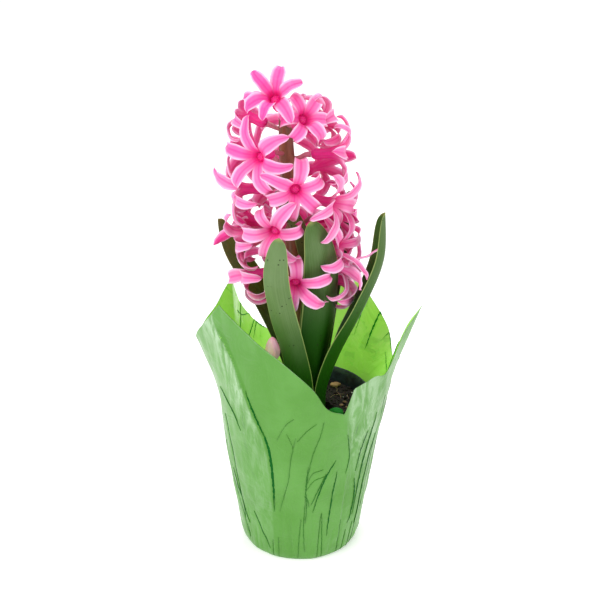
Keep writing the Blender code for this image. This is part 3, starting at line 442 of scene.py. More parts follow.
class Paint:
    """A Principled material being mixed from procedural nodes."""

    def __init__(self, name, **constants):
        self.material = bpy.data.materials.new(name)
        self.material.use_nodes = True
        self.tree = self.material.node_tree
        self.shader = self.fill(self.tree.nodes["Principled BSDF"], constants)
        self.place = self.node("TexCoord").outputs["Object"]
        self.colour = None

    def fill(self, node, inputs):
        """Joins outputs to a node's sockets or sets plain values. None leaves a socket alone."""
        for key, value in inputs.items():
            socket = node.inputs[key.replace("_", " ") if isinstance(key, str) else key]
            if isinstance(value, bpy.types.NodeSocket):
                self.tree.links.new(value, socket)
            elif value is not None:
                socket.default_value = (*value, 1.0) if socket.type == "RGBA" else value
        return node

    def node(self, kind, inputs=None, **settings):
        made = self.tree.nodes.new("ShaderNode" + kind)
        for key, value in settings.items():
            setattr(made, key, value)
        return self.fill(made, inputs or {})

    def attribute(self, name):
        return self.node("Attribute", attribute_name=name).outputs["Fac"]

    def maths(self, operation, a, b=0.0):
        return self.node("Math", {0: a, 1: b}, operation=operation).outputs[0]

    def times(self, a, b):
        return self.maths("MULTIPLY", a, b)

    def stretched(self, *scale):
        return self.node("Mapping", {"Vector": self.place, "Scale": scale}).outputs["Vector"]

    def noise(self, scale, detail=4.0, roughness=0.5, distortion=0.0, vector=None):
        return self.node("TexNoise", {"Vector": vector or self.place, "Scale": scale, "Detail": detail,
                                      "Roughness": roughness, "Distortion": distortion}).outputs["Fac"]

    def cells(self, scale):
        return self.node("TexVoronoi", {"Vector": self.place, "Scale": scale}).outputs["Distance"]

    def between(self, value, low, high, to_low=0.0, to_high=1.0):
        """Maps low..high to to_low..to_high, smoothly and held at both ends."""
        ends = {"From Min": low, "From Max": high, "To Min": to_low, "To Max": to_high}
        made = self.node("MapRange", {"Value": value, **ends}, interpolation_type="SMOOTHSTEP")
        return made.outputs["Result"]

    def mix(self, factor, a, b):
        return self.node("Mix", {0: factor, 6: a, 7: b}, data_type="RGBA").outputs[2]

    def layer(self, factor, colour):
        """Lays a colour over what is there, as far as the factor says."""
        self.colour = self.mix(factor, self.colour, colour)

    def bump(self, height, distance, strength, below=None):
        return self.node("Bump", {"Strength": strength, "Distance": distance, "Height": height,
                                  "Normal": below}).outputs["Normal"]

    def finish(self, roughness, normal=None):
        self.fill(self.shader, {"Base Color": self.colour, "Roughness": roughness, "Normal": normal})
        return self.material


def film_paint(name, green, dark, pale, roughness, glow, shade_patches):
    """Satin film: clouded green, with painted shade in patches and stripes, and painted highlights on
    its crinkles and ridges.
    """
    # The emission is painted light: a glow standing in for light through the thin film.
    paint = Paint(name, Specular_IOR_Level=0.36, Coat_Weight=0.1, Coat_Roughness=0.16,
                  Emission_Color=green, Emission_Strength=glow)
    crinkles_and_highlight = paint.attribute("pale")
    stripes = paint.noise(150.0, 5.0, 0.65, 0.6, paint.stretched(1.0, 1.0, 0.22))
    ridges = paint.noise(24.0, 6.0, 0.72, 2.6, paint.stretched(1.0, 1.0, 0.5))
    from_ridge = paint.maths("ABSOLUTE", paint.maths("SUBTRACT", ridges, 0.5))
    paint.colour = paint.mix(paint.between(paint.noise(28.0, 3.0), 0.35, 0.65), green, pale)
    # Whitish painted highlight on the crinkles.
    paint.layer(paint.times(crinkles_and_highlight, paint.between(stripes, 0.42, 0.62, 0.12, 1.0)), CRINKLE_HIGHLIGHT)
    # Pale painted highlight along fine ridges.
    paint.layer(paint.between(from_ridge, 0.0, 0.012, 0.4, 0.0), pale)
    # Dark stripes of painted shade between the crinkles.
    paint.layer(paint.times(crinkles_and_highlight, paint.between(stripes, 0.34, 0.42, 0.6, 0.0)), dark)
    # Patches of painted shade.
    paint.layer(paint.between(paint.noise(48.0, 5.0, 0.6, 1.6), 0.56, 0.66, 0.0, shade_patches), dark)
    wave = paint.bump(paint.noise(55.0, 5.0, 0.55, 1.2), 1.4 * MM, 0.9)
    fold = paint.bump(paint.times(crinkles_and_highlight, stripes), 1.4 * MM, 0.9, wave)
    grain = paint.bump(paint.noise(900.0, 2.0), 0.05 * MM, 0.35, fold)
    rough = paint.between(paint.noise(90.0, 5.0), 0.3, 0.7, roughness - 0.07, roughness + 0.09)
    return paint.finish(rough, grain)


def petal_paint():
    """Petals: pale margins, a deep rib and throat, fine streaks and a darker tip."""
    paint = Paint("hyacinth_pink_paint", Subsurface_Weight=0.22, Subsurface_Scale=1.6 * MM,
                  Subsurface_Radius=(1.0, 0.35, 0.5), Specular_IOR_Level=0.22)
    across = paint.maths("ABSOLUTE", paint.attribute("across"))
    along = paint.attribute("along")
    streaks = paint.noise(1.0, 3.0, 0.6, vector=streak_place(paint, 14.0, 1.6))
    margin = paint.times(paint.between(across, 0.55, 0.95), paint.between(along, 0.0, 0.35, 0.25, 1.0))
    paint.colour = paint.mix(paint.attribute("tone"), (0.88, 0.09, 0.4), (0.95, 0.27, 0.54))
    paint.layer(paint.times(margin, 0.85), (0.985, 0.62, 0.82))
    paint.layer(paint.between(across, 0.02, 0.28, 0.6, 0.0), (0.82, 0.03, 0.3))
    paint.layer(paint.between(streaks, 0.45, 0.75, 0.0, 0.35), (0.8, 0.09, 0.33))
    paint.layer(paint.between(along, -0.1, 0.3, 0.85, 0.0), (0.8, 0.008, 0.24))
    paint.layer(paint.between(along, 0.93, 1.0, 0.0, 0.55), (0.66, 0.1, 0.28))
    skin = paint.bump(paint.noise(2600.0, 2.0), 0.03 * MM, 0.5, paint.bump(streaks, 0.12 * MM, 0.5))
    return paint.finish(paint.between(paint.noise(260.0, 3.0), 0.3, 0.7, 0.3, 0.46), skin)


def streak_place(paint, across_scale, along_scale):
    """A texture place that follows the blade: across it, along it, and apart for each blade."""
    scales = {"across": across_scale, "along": along_scale, "tone": 50.0}
    parts = [paint.times(paint.attribute(key), scale) for key, scale in scales.items()]
    return paint.node("CombineXYZ", dict(enumerate(parts))).outputs[0]


def leaf_paint(name, inner, outer, depth=(0.2, 0.66)):
    """Fleshy leaf: parallel veins, a grey bloom outside, pale margins, specks, and painted shade
    darkening the foot.
    """
    paint = Paint(name, Subsurface_Weight=0.06, Subsurface_Scale=1.5 * MM,
                  Subsurface_Radius=(0.4, 1.0, 0.2), Specular_IOR_Level=0.14)
    face, along = paint.attribute("face"), paint.attribute("along")
    across = paint.maths("ABSOLUTE", paint.attribute("across"))
    streaks = paint.noise(1.0, 4.0, 0.6, vector=streak_place(paint, 26.0, 2.2))
    bloom = paint.noise(70.0, 4.0, vector=paint.stretched(1.0, 1.0, 0.4))
    hazy = paint.times(paint.between(bloom, 0.42, 0.7), face)
    specks = paint.times(paint.between(paint.cells(330.0), 0.14, 0.22, 1.0, 0.0),
                         paint.between(paint.noise(75.0, 2.0), 0.54, 0.58))
    paint.colour = paint.mix(face, inner, outer)
    veins = paint.mix(0.35, outer, (0.3, 0.42, 0.2))
    paint.layer(paint.between(streaks, 0.35, 0.7, 0.0, 0.45), veins)
    paint.layer(paint.times(hazy, 0.3), (0.2, 0.29, 0.14))
    # Painted shade: darker towards the foot, down among the leaves and inside the cover; depth gives
    # where it begins and ends.
    paint.layer(paint.between(along, *depth, 0.97, 0.0), (0.009, 0.068, 0.001))
    paint.layer(paint.between(across, 0.93, 0.99, 0.0, 0.7), (0.42, 0.5, 0.16))
    paint.layer(paint.between(along, 0.975, 1.0, 0.0, 0.6), (0.4, 0.42, 0.12))
    paint.layer(paint.times(specks, 0.85), (0.02, 0.02, 0.012))
    pores = paint.bump(paint.noise(1800.0, 2.0), 0.03 * MM, 0.4, paint.bump(streaks, 0.2 * MM, 0.6))
    return paint.finish(paint.between(bloom, 0.3, 0.7, 0.36, 0.52), pores)


def plain_paint(name, light, deep, scale, roughness, relief, stretch=(1.0, 1.0, 1.0), **constants):
    """Two colours clouded together, with relief to match."""
    paint = Paint(name, **constants)
    clouds = paint.noise(scale, 6.0, 0.6, vector=paint.stretched(*stretch))
    paint.colour = paint.mix(paint.between(clouds, 0.3, 0.7), deep, light)
    rough = paint.between(clouds, 0.3, 0.7, roughness + 0.08, roughness - 0.08)
    return paint.finish(rough, paint.bump(clouds, relief, 0.7))


# ---------------- film cover

def edge_table():
    """Azimuth, radius and height along the free edge: smooth runs between its sharp corners."""
    turns = [Vector(point) for point in FILM_EDGE] + [Vector(FILM_EDGE[0]) + Vector((360, 0, 0))]
    marks = [k for k, point in enumerate(turns) if round(point.x) in FILM_CORNERS]
    table = []
    for start, end in zip([0] + marks, marks + [len(turns) - 1]):
        table += smooth_path(turns[start:end + 1], 12 * (end - start) + 1)
    return np.array(table)


def fold_distance(azimuth, height, points):
    """Distance round the film from a fold's line, in mm, and the heights between which it runs."""
    levels = np.array([z for _, z in points][::-1]) * CM
    turns = np.array([a for a, _ in points][::-1])
    line = np.interp(height, levels, turns)
    radius = FILM_WALL_RADIUS + FILM_WALL_SLOPE * height
    return np.radians((azimuth - line + 180) % 360 - 180) * radius / MM, levels[0], levels[-1]


def ramp(value, span):
    """Rises from 0 to 1 over a span and is held at both ends."""
    return np.clip(value / span, 0, 1)


def eased(share):
    return share * share * (3 - 2 * share)


def fold_relief(azimuth, height, fold):
    """How far one fold moves the film in or out."""
    points, depth, width, kind = fold
    away, low, high = fold_distance(azimuth, height, points)
    fade = eased(ramp(height - low, FOLD_FADE) * ramp(high - height, FOLD_FADE))
    if kind == "lap":
        step = eased(ramp(away, LAP_STEP))
        under = FOLD_SHOULDER * step * np.exp(-np.maximum(away, 0) / LAP_FALL)
        relief = depth * (np.exp(np.minimum(away, 0) / width) * (1 - step) - under)
    else:
        shoulder = FOLD_SHOULDER * depth * np.exp(-(away / 3 / width) ** 2)
        relief = -depth * np.exp(-np.abs(away) / width) + shoulder
    return relief * fade * MM


def beside(away, begin, width, fall):
    """A strip beside a fold: it begins over some mm, keeps its width and then falls off."""
    return ramp(away, begin) * np.exp(-np.maximum(away - width, 0) / fall)


def crinkle_highlight(azimuth, height):
    """Painted highlight: whitish where the film is crinkled, outside the two laps of the front."""
    left, low, _ = fold_distance(azimuth, height, FOLDS[LEFT_LAP][0])
    value = beside(-left, *CRINKLE_LEFT) * ramp(height, 4 * CM)
    value *= np.maximum(ramp(height - low - 3.0 * CM, 6 * CM), 0.25)
    right = fold_distance(azimuth, height, FOLDS[RIGHT_LAP][0])[0]
    other = beside(right, *CRINKLE_RIGHT) * ramp(height - 5.5 * CM, 4 * CM) * (azimuth < 20)
    return np.maximum(value, 0.75 * other)


def random_folds():
    """Small tucks all round the foot, and longer folds where none is listed by name."""
    rng = random.Random(SEED)
    folds, creases = [], []
    for k in range(PLEATS):
        turn = -180 + 360 * (k + rng.uniform(-0.4, 0.4)) / PLEATS
        top = rng.uniform(1.6, 4.2) * (1.8 if k % 4 == 0 else 1.0)
        lean = rng.uniform(-1.1, 1.1)
        points = [(turn + lean * top, top), (turn + 0.4 * lean * top, 0.5 * top), (turn, 0.1)]
        folds.append((points, rng.uniform(0.35, 1.0), rng.uniform(1.0, 1.8), "valley"))
        if rng.random() < 0.55:
            creases.append((points, rng.uniform(0.1, 0.3), "out"))
    for k in range(BACK_FOLDS):
        turn = -22 + 200 * (k + rng.uniform(-0.3, 0.3)) / BACK_FOLDS
        top, foot = rng.uniform(9.0, 15.0), rng.uniform(0.5, 6.0)
        points = [(turn + rng.uniform(-6, 6), top), (turn + rng.uniform(-4, 4), 0.6 * top + 0.4 * foot),
                  (turn, foot)]
        kind = rng.choice(("lap", "valley"))
        width = rng.uniform(3.0, 6.0) if kind == "lap" else rng.uniform(1.1, 1.6)
        folds.append((points, rng.uniform(0.8, 1.5), width, kind))
        creases.append((points, rng.choice((0.12, 0.2, 0.3, 0.5)), "out"))
    return folds, creases


def slow_noise(azimuth, height, seed, cells_round, cells_up):
    """A smooth random field round the cover, from -1 to 1."""
    values = np.empty(azimuth.shape)
    turn = np.radians(azimuth)
    ring = cells_round / (2 * math.pi)
    for index in np.ndindex(azimuth.shape):
        spot = Vector((ring * math.cos(turn[index]), ring * math.sin(turn[index]) + seed,
                       height[index] / CM * cells_up))
        values[index] = noise.noise(spot)
    return values


def film_grid():
    """Outer face of the film as rows of points, its columns' azimuths and how much painted highlight
    lies on it.
    """
    share = np.arange(FILM_COLUMNS) / FILM_COLUMNS
    swing = (np.sin(2 * math.pi * (share - 0.25)) + 1) / (2 * math.pi)
    azimuth = -180 + 360 * (share - FILM_FRONT_DENSITY * swing)
    table = edge_table()
    edge_radius, edge_height = (np.interp(azimuth, table[:, 0], table[:, k]) * CM for k in (1, 2))
    wall = FILM_RING_HEIGHT * (np.arange(FILM_WALL_ROWS) / FILM_WALL_ROWS) ** FILM_ROW_EASE
    wall_radius = FILM_WALL_RADIUS + FILM_WALL_SLOPE * wall
    wall_radius -= (FILM_WALL_RADIUS - FILM_BASE_RADIUS) * np.exp(-wall / FILM_BASE_EASE)
    share = np.arange(FILM_FLAP_ROWS + 1)[:, None] / FILM_FLAP_ROWS
    off_centre = POT_CENTRE.x * np.cos(np.radians(azimuth))
    ring = FILM_WALL_RADIUS + FILM_WALL_SLOPE * FILM_RING_HEIGHT + off_centre
    leaning = (wall / FILM_RING_HEIGHT)[:, None] ** FILM_SHIFT_EASE
    wall_part = wall_radius[:, None] + leaning * off_centre
    radius = np.vstack([wall_part, ring + (edge_radius - ring) * share ** FILM_FLARE])
    height = np.vstack([np.repeat(wall[:, None], FILM_COLUMNS, 1),
                        FILM_RING_HEIGHT + (edge_height - FILM_RING_HEIGHT) * share])
    turns = np.repeat(azimuth[None, :], len(radius), 0)
    flap = np.vstack([np.zeros((FILM_WALL_ROWS, 1)), share]) * np.ones((1, FILM_COLUMNS))
    relief = sum(fold_relief(turns, height, fold) for fold in FOLDS + random_folds()[0])
    for seed, around, upward, on_wall, on_flaps in FILM_WAVES:
        relief += slow_noise(turns, height, seed, around, upward) * blend(on_wall, on_flaps, flap)
    radius += relief * blend(FOOT_RELIEF, 1.0, ramp(height, FOOT_RELIEF_HEIGHT))
    across, up = radius * np.cos(np.radians(turns)), radius * np.sin(np.radians(turns))
    height = np.maximum(height, 0.0)
    # Whitish painted highlight on the crinkled strips and along the free edge.
    pale = crinkle_highlight(turns, height)
    pale[-1] = np.maximum(pale[-1], EDGE_HIGHLIGHT)
    return np.stack([across, up, height], axis=2), azimuth, pale


class FilmSkin:
    """Finds places on the film's outer face from azimuth and height."""

    def __init__(self, rows, azimuth):
        self.rows = rows
        self.azimuth = azimuth
        self.normals = sheet_normals(rows)

    def at(self, turn, height):
        turn = (turn + 180) % 360 - 180
        column = np.interp(turn, self.azimuth, np.arange(len(self.azimuth)))
        low = int(column)
        spots = []
        for k in (low, (low + 1) % len(self.azimuth)):
            row = np.interp(height, self.rows[:, k, 2], np.arange(len(self.rows)))
            j = min(int(row), len(self.rows) - 2)
            part = row - j
            spots.append([blend(grid[j, k], grid[j + 1, k], part) for grid in (self.rows, self.normals)])
        place, normal = (Vector(blend(a, b, column - low)) for a, b in zip(*spots))
        return place, normal.normalized()


def sheet_normals(rows):
    """Outward normals of a grid of points that closes round on itself."""
    around = np.roll(rows, -1, 1) - np.roll(rows, 1, 1)
    upward = np.empty_like(rows)
    upward[1:-1] = rows[2:] - rows[:-2]
    upward[0] = rows[1] - rows[0]
    upward[-1] = rows[-1] - rows[-2]
    normals = np.cross(around, upward)
    return normals / np.linalg.norm(normals, axis=2, keepdims=True)


def build_creases(skin):
    """Pinched folds of the film: slender welts that swell and taper along their lines, painted dark as
    the shade of the folds.
    """
    rng = random.Random(SEED + 4)
    bodies = {"out": Body("slight"), "in": Body("slight")}
    for points, half, face in CREASES + random_folds()[1]:
        count = 16 + 8 * len(points)
        line = smooth_path([Vector((a, z, 0.0)) for a, z in points], count)
        spots = [skin.at(p.x, max(p.y, 0.05) * CM) for p in line]
        ways = tangents([place for place, _ in spots])
        rings, slight = [], []
        for j, ((place, normal), along) in enumerate(zip(spots, ways)):
            if face == "in":
                place, normal = place - normal * SHEET, -normal
            side = normal.cross(along).normalized()
            swell = math.sin(math.pi * (0.04 + 0.94 * j / (count - 1)))
            reach = CREASE_REACH[face] * half * swell ** 0.6 * rng.uniform(0.45, 1.2) * MM
            middle = place + normal * WELT_LIFT + side * rng.uniform(-0.2, 0.2) * MM
            rings.append([middle - side * reach, middle + normal * 0.25 * reach,
                          middle + side * reach, middle - normal * WELT_DEPTH])
            # How faint the painted shade is: faint on thin creases and towards their ends.
            slight += [max(0.0, 1 - half / 0.42, 1 - 2.2 * swell)] * 4
        bodies[face].add(*lofted(rings), slight=slight)
    for face, (name, dark, faint) in CREASE_SHADOW_PIECES.items():
        # The dark colour is painted shade of the fold, fading to the faint one.
        paint = Paint(name + "_paint", Specular_IOR_Level=0.1)
        paint.colour = paint.mix(paint.times(paint.attribute("slight"), 0.8), dark, faint)
        bodies[face].piece(name, paint.finish(0.45), "green_film")


def build_tuck(skin):
    """A scrap of the film folded down inside the notch, painted dark green as the shade between the
    layers.
    """
    count = 14
    spots = [skin.at(blend(*NOTCH_TURNS, k / count), 30 * CM) for k in range(count + 1)]
    level = min(place.z for place, _ in spots)
    rings = []
    for k, (place, normal) in enumerate(spots):
        foot, head = (place - normal * back for back in TUCK_SET_BACK)
        foot.z = level - TUCK_DROP
        head.z = level + TUCK_RISE * math.sin(math.pi * blend(0.12, 0.9, k / count))
        rings.append([foot, head, head - normal * TUCK_THICKNESS, foot - normal * TUCK_THICKNESS])
    # Dark greens: painted shade between the layers.
    paint = plain_paint("film_tuck_shade_paint", (0.008, 0.16, 0.012), (0.002, 0.08, 0.005), 160.0, 0.4,
                        0.1 * MM, Specular_IOR_Level=0.15)
    add_piece("film_tuck", *lofted(rings), [paint], "green_film")


def build_cover():
    """The film: a pleated wall, loose flaps and a gathered flat base, as one thin closed sheet."""
    rows, azimuth, pale = film_grid()
    count = FILM_COLUMNS
    inner_rows = rows - sheet_normals(rows) * SHEET
    inner_rows[0] = rows[0] * 0.995 + np.array([0, 0, SHEET])
    gathers = GATHER_HEIGHT * np.abs(np.sin(np.radians(np.arange(count) * GATHER_TURN)))
    base = []
    for share in reversed(FILM_BASE_SHARES):
        base.append(rows[0] * share)
        base[-1][:, 2] = gathers * (1 - share) if share < 0.9 else 0.0
    outer = np.vstack([np.zeros((1, 3)), *base, *rows])
    inner = np.vstack([[[0, 0, SHEET]], *(ring + [0, 0, SHEET] for ring in base), *inner_rows])
    shift = len(outer)
    top = shift - count
    faces, sides = [], []
    for side, first in enumerate((1, shift + 1)):
        skin = [(first - 1, first + (k + 1) % count, first + k) for k in range(count)]
        skin += [(low + k, low + (k + 1) % count, low + count + (k + 1) % count, low + count + k)
                 for low in range(first, first + top - 1, count) for k in range(count)]
        faces += [face[::-1] for face in skin] if side else skin
        sides += [side] * len(skin)
    edge = [top + (k + 1) % count for k in range(count)]
    faces += [(top + k, n, shift + n, shift + top + k) for k, n in enumerate(edge)]
    sides += [0] * count
    # Painted highlight on both faces, fainter inside.
    shades = np.vstack([np.zeros((len(base), count)), pale]).ravel()
    # The dark colours are painted shade; the inside's glow is painted light coming through the thin
    # film.
    outside = film_paint("film_outside", (0.085, 0.28, 0.028), (0.0, 0.085, 0.004),
                         (0.11, 0.325, 0.048), 0.36, 0.0, 0.0)
    inside = film_paint("film_inside", (0.42, 0.95, 0.11), (0.01, 0.3, 0.01), (0.52, 0.97, 0.2),
                        0.3, 0.17, 0.3)
    add_piece("film_cover", np.vstack([outer, inner]), faces, [outside, inside], "green_film",
              ["wrap"], {"pale": [0.0, *shades, 0.0, *(INNER_HIGHLIGHT * shades)]}, sides, turn_out=False)
    skin = FilmSkin(rows, azimuth)
    build_creases(skin)
    build_tuck(skin)


# ---------------- pot, soil and bulb


def build_nursery_pot():
    """Thin moulded pot: a rounded foot, a plain wall and a rim band with a rounded lip."""
    band_foot = POT_HEIGHT - POT_RIM_BAND
    wall_top = POT_RIM_RADIUS - POT_RIM_PROUD
    foot_top = POT_FLOOR + POT_FOOT_BEVEL
    lip_turns = [math.pi * k / 6 for k in range(7)]
    profile = [
        (0.3 * MM, POT_FLOOR), (POT_BASE_RADIUS - POT_FOOT_BEVEL, POT_FLOOR),
        (POT_BASE_RADIUS, foot_top), (wall_top - 0.4 * MM, band_foot - 0.8 * MM),
        (wall_top, band_foot - 0.3 * MM), (POT_RIM_RADIUS - 0.5 * MM, band_foot),
        (POT_RIM_RADIUS - 0.1 * MM, band_foot + 0.6 * MM),
    ] + [(POT_RIM_RADIUS - POT_LIP + POT_LIP * math.cos(turn),
          POT_HEIGHT - POT_LIP + POT_LIP * math.sin(turn)) for turn in lip_turns] + [
        (wall_top - POT_WALL + 0.2 * MM, POT_HEIGHT - 2.2 * MM),
        (wall_top - POT_WALL - 0.1 * MM, POT_HEIGHT - 4.0 * MM),
        (POT_BASE_RADIUS - POT_WALL, foot_top + POT_WALL),
        (POT_BASE_RADIUS - 1.8 * MM, POT_FLOOR + POT_WALL), (0.3 * MM, POT_FLOOR + POT_WALL),
    ]
    paint = plain_paint("pot_plastic", (0.035, 0.052, 0.068), (0.01, 0.015, 0.02), 220.0, 0.42,
                        0.05 * MM, Coat_Weight=0.1)
    rings = [circle(POT_CENTRE, radius, height, 96) for radius, height in profile]
    add_piece("nursery_pot", *lofted(rings), [paint], "black_plastic", ["pot"])


def soil_height(x, y):
    """Height of the loose surface: the broad bumps of the bed, with clods and grains on them."""
    bumps = math.sin(900 * x + 1.3) * math.cos(760 * y) + 0.7 * math.sin(1500 * (x + y) + 0.4)
    away = math.hypot(x - CHIP_CENTRE.x, y - CHIP_CENTRE.y)
    level = min(1.0, max(0.0, away / (9 * MM) - 0.9))
    clods = noise.turbulence(Vector((x, y, 0.0)) * 330, 4, False) - 0.6
    return SOIL_TOP + (0.5 * SOIL_RELIEF * bumps + 0.9 * MM * clods) * level


def on_soil(turn, inner, outer, share):
    """A place on the soil, a share of the way from the neck hole's radius to the pot's wall."""
    spot = (PLANT_CENTRE + polar(inner, turn)).lerp(POT_CENTRE + polar(outer, turn), share)
    spot.z = soil_height(spot.x, spot.y)
    return spot


def build_soil():
    """Peat filling the pot, with its top in fine relief round the hole of the bulb's neck."""
    sides, rounds = 150, 34

    def bore(height):
        """Radius inside the pot's wall."""
        wall_top = POT_RIM_RADIUS - POT_RIM_PROUD - POT_WALL
        return blend(POT_BASE_RADIUS - POT_WALL, wall_top, height / POT_HEIGHT)

    rings = [circle(PLANT_CENTRE, 0.4 * CM, SOIL_TOP - 7 * MM, sides),
             circle(PLANT_CENTRE, NECK_HOLE_RADIUS - 0.5 * MM, SOIL_TOP - 5 * MM, sides)]
    outer = bore(SOIL_TOP) - 0.7 * MM
    rings += [[on_soil(math.tau * k / sides, NECK_HOLE_RADIUS, outer, j / rounds)
               for k in range(sides)] for j in range(rounds + 1)]
    rings += [circle(POT_CENTRE, bore(height) - 0.8 * MM, height, sides)
              for height in (SOIL_TOP - 3 * MM, 0.5 * SOIL_TOP, POT_FLOOR + POT_WALL + SEAT_GAP)]
    peat = plain_paint("peat", (0.024, 0.013, 0.009), (0.003, 0.002, 0.002), 900.0, 0.9, 0.5 * MM)
    add_piece("peat_bed", *lofted(rings), [peat], "potting_soil", ["soil"])
    return peat


def lump(rng, centre, size, flat):
    """A small irregular grain: an icosphere pushed about by noise."""
    work = bmesh.new()
    bmesh.ops.create_icosphere(work, subdivisions=2, radius=1.0)
    seed = Vector((rng.uniform(0, 50), rng.uniform(0, 50), rng.uniform(0, 50)))
    turn = Matrix.Rotation(rng.uniform(0, math.tau), 3, "Z")
    turn = turn @ Matrix.Rotation(rng.uniform(-0.4, 0.4), 3, "X")
    points = []
    for vertex in work.verts:
        swell = 1.0 + 0.45 * noise.noise(vertex.co * 1.3 + seed)
        shaped = Vector((vertex.co.x * swell, vertex.co.y * swell * 0.8, vertex.co.z * swell * flat))
        points.append(centre + turn @ shaped * size)
    faces = [tuple(v.index for v in face.verts) for face in work.faces]
    work.free()
    return points, faces


def loose_spot(rng):
    """A place on the open soil, drawn at random."""
    turn = rng.uniform(0, math.tau)
    return on_soil(turn, NECK_HOLE_RADIUS + 1 * MM, POT_RIM_RADIUS - 4.6 * MM, math.sqrt(rng.random()))


def build_litter(peat):
    """Crumbs of peat, bark grit, white grains and dry rootlets on the soil."""
    rng = random.Random(SEED + 1)
    litter = []
    for number, sizes, lift, flat in LITTER:
        body = Body()
        for _ in range(number):
            size = rng.uniform(*sizes) * MM
            spot = loose_spot(rng) + UP * lift * size
            body.add(*lump(rng, spot, size, rng.uniform(*flat) if isinstance(flat, tuple) else flat))
        litter.append(body)
    roots = Body()
    room = POT_RIM_RADIUS - 4.5 * MM
    for _ in range(ROOTLETS):
        spot = loose_spot(rng)
        heading = rng.uniform(0, math.tau)
        control = []
        for j in range(5):
            heading += rng.uniform(-0.7, 0.7)
            lift = 0.5 * MM + 1.4 * MM * math.sin(math.pi * j / 4) * rng.random()
            control.append(Vector((spot.x, spot.y, soil_height(spot.x, spot.y) + lift)))
            spot = spot + polar(rng.uniform(1.6, 3.4) * MM, heading)
            reach = spot - POT_CENTRE
            reach.z = 0.0
            if reach.length > room:
                spot = POT_CENTRE + reach.normalized() * room
        path = smooth_path(control, 14)
        top = UP + polar(1.0, heading + 1.3) * 0.2
        roots.add(*lofted([ring_about(p, axis, ROOTLET_RADIUS, 6, top)
                           for p, axis in zip(path, tangents(path))]))
    bark = plain_paint("bark_grit", (0.3, 0.17, 0.085), (0.09, 0.045, 0.02), 700.0, 0.8, 0.3 * MM)
    pale = plain_paint("white_grain", (0.8, 0.79, 0.75), (0.55, 0.54, 0.5), 900.0, 0.8, 0.2 * MM)
    root = plain_paint("dry_root", (0.42, 0.28, 0.16), (0.2, 0.11, 0.05), 500.0, 0.7, 0.1 * MM)
    crumbs, grit, grains = litter
    crumbs.piece("peat_crumbs", peat, "potting_soil")
    grit.piece("soil_bark_grit", bark, "bark")
    grains.piece("soil_white_grains", pale, "potting_soil")
    roots.piece("soil_rootlets", root, "bark")


def build_chip():
    """Split wood chip with broken ends, lying on the soil."""
    sides, rounds = 28, 7
    corners = [(1.0, 0.1), (0.35, 1.0), (-0.8, 0.7), (-1.0, -0.4), (0.2, -1.0)]
    loop = [Vector((x, y, 0)) for x, y in corners]
    rings = []
    for j in range(rounds):
        rise = j / (rounds - 1)
        grow = 0.72 + 0.28 * math.sin(math.pi * min(1.0, rise * 0.9 + 0.05)) ** 0.6
        ring = []
        for k in range(sides):
            at = k / sides * len(loop)
            low, part = int(at), at % 1
            flat = loop[low].lerp(loop[(low + 1) % len(loop)], part)
            rough = 1.0 + 0.07 * noise.noise(flat * 4 + Vector((0, 0, rise * 2)))
            grain = 0.12 * MM * math.sin(flat.y * 22) * rise
            ring.append(CHIP_CENTRE + Vector((flat.x * grow * rough * CHIP_SIZE[0] / 2,
                                              flat.y * grow * rough * CHIP_SIZE[1] / 2,
                                              SOIL_TOP + SEAT_GAP + rise * CHIP_SIZE[2] + grain)))
        rings.append(ring)
    wood = plain_paint("chip_wood", (0.66, 0.42, 0.2), (0.34, 0.18, 0.07), 260.0, 0.75, 0.25 * MM,
                       (0.35, 2.2, 1.0))
    add_piece("wood_chip", *lofted(rings), [wood], "bark", ["bark_chip"])


def build_bulb_neck():
    """The bulb, with its papery coats standing loose round the neck."""
    rings = [circle(PLANT_CENTRE, radius * CM, BULB_NECK_TOP + height * CM, 72,
                    lambda turn: 1 + 0.012 * math.sin(9 * turn) + 0.008 * math.sin(23 * turn + 1))
             for radius, height in BULB_PROFILE]
    coat = plain_paint("bulb_coat", (0.42, 0.16, 0.2), (0.16, 0.05, 0.07), 120.0, 0.6, 0.2 * MM,
                       (1.0, 1.0, 0.2))
    add_piece("bulb_body", *lofted(rings), [coat], "bulb_skin", ["bulb"])


# ---------------- leaves and side stalk

def leaf_width(t, foot, width, widest, blunt):
    """Width along a leaf: from its foot, through its widest, to its blunt tip."""
    if t < widest:
        return blend(foot, width, math.sin(0.5 * math.pi * t / widest)) * CM
    fall = (t - widest) / (1 - widest)
    share = blend(1.0, LEAF_TAPER, fall) * math.sqrt(max(0.0, 1.0 - fall ** blunt))
    return max(LEAF_TIP, share) * width * CM


def leaf_section(spot, along, half, rise, turn, v):
    """Middle of the blade at v from its keel, and the way its hollow side faces there."""
    inward = scape_point(spot.z) - spot
    inward = Matrix.Rotation(math.radians(turn), 3, along) @ (inward - along * inward.dot(along))
    inward.normalize()
    side = along.cross(inward).normalized()
    angle = math.radians(rise)
    reach = math.hypot(v, LEAF_KEEL_ROUND)
    lift = (reach - LEAF_KEEL_ROUND) * math.sin(angle)
    tilt = math.atan2(math.sin(angle) * v / reach, math.cos(angle))
    middle = spot + half * (side * v * math.cos(angle) + inward * lift)
    return middle, inward * math.cos(tilt) - side * math.sin(tilt)


def leaf_solid(spine, foot, width, widest, blunt, fold, turn=0, keel=0.0):
    """The leaf as its solid has it, for the placing rules."""
    path = smooth_path(scaled(spine), LEAF_STATIONS)
    rings = []
    for j, (spot, along) in enumerate(zip(path, tangents(path))):
        t = j / (LEAF_STATIONS - 1)
        half = 0.5 * leaf_width(t, foot, width, widest, blunt)
        front, back = [], []
        for u in LEAF_COLUMNS:
            middle, out = leaf_section(spot, along, half, blend(*fold, t), turn, u - keel)
            thick = blend(LEAF_RIB * blend(1.0, 0.6, t), LEAF_EDGE, abs(u) ** 1.5)
            front.append(middle + out * thick / 2)
            back.append(middle - out * thick / 2)
        rings.append(front + back[::-1])
    return loft_triangles(rings, blade=True)


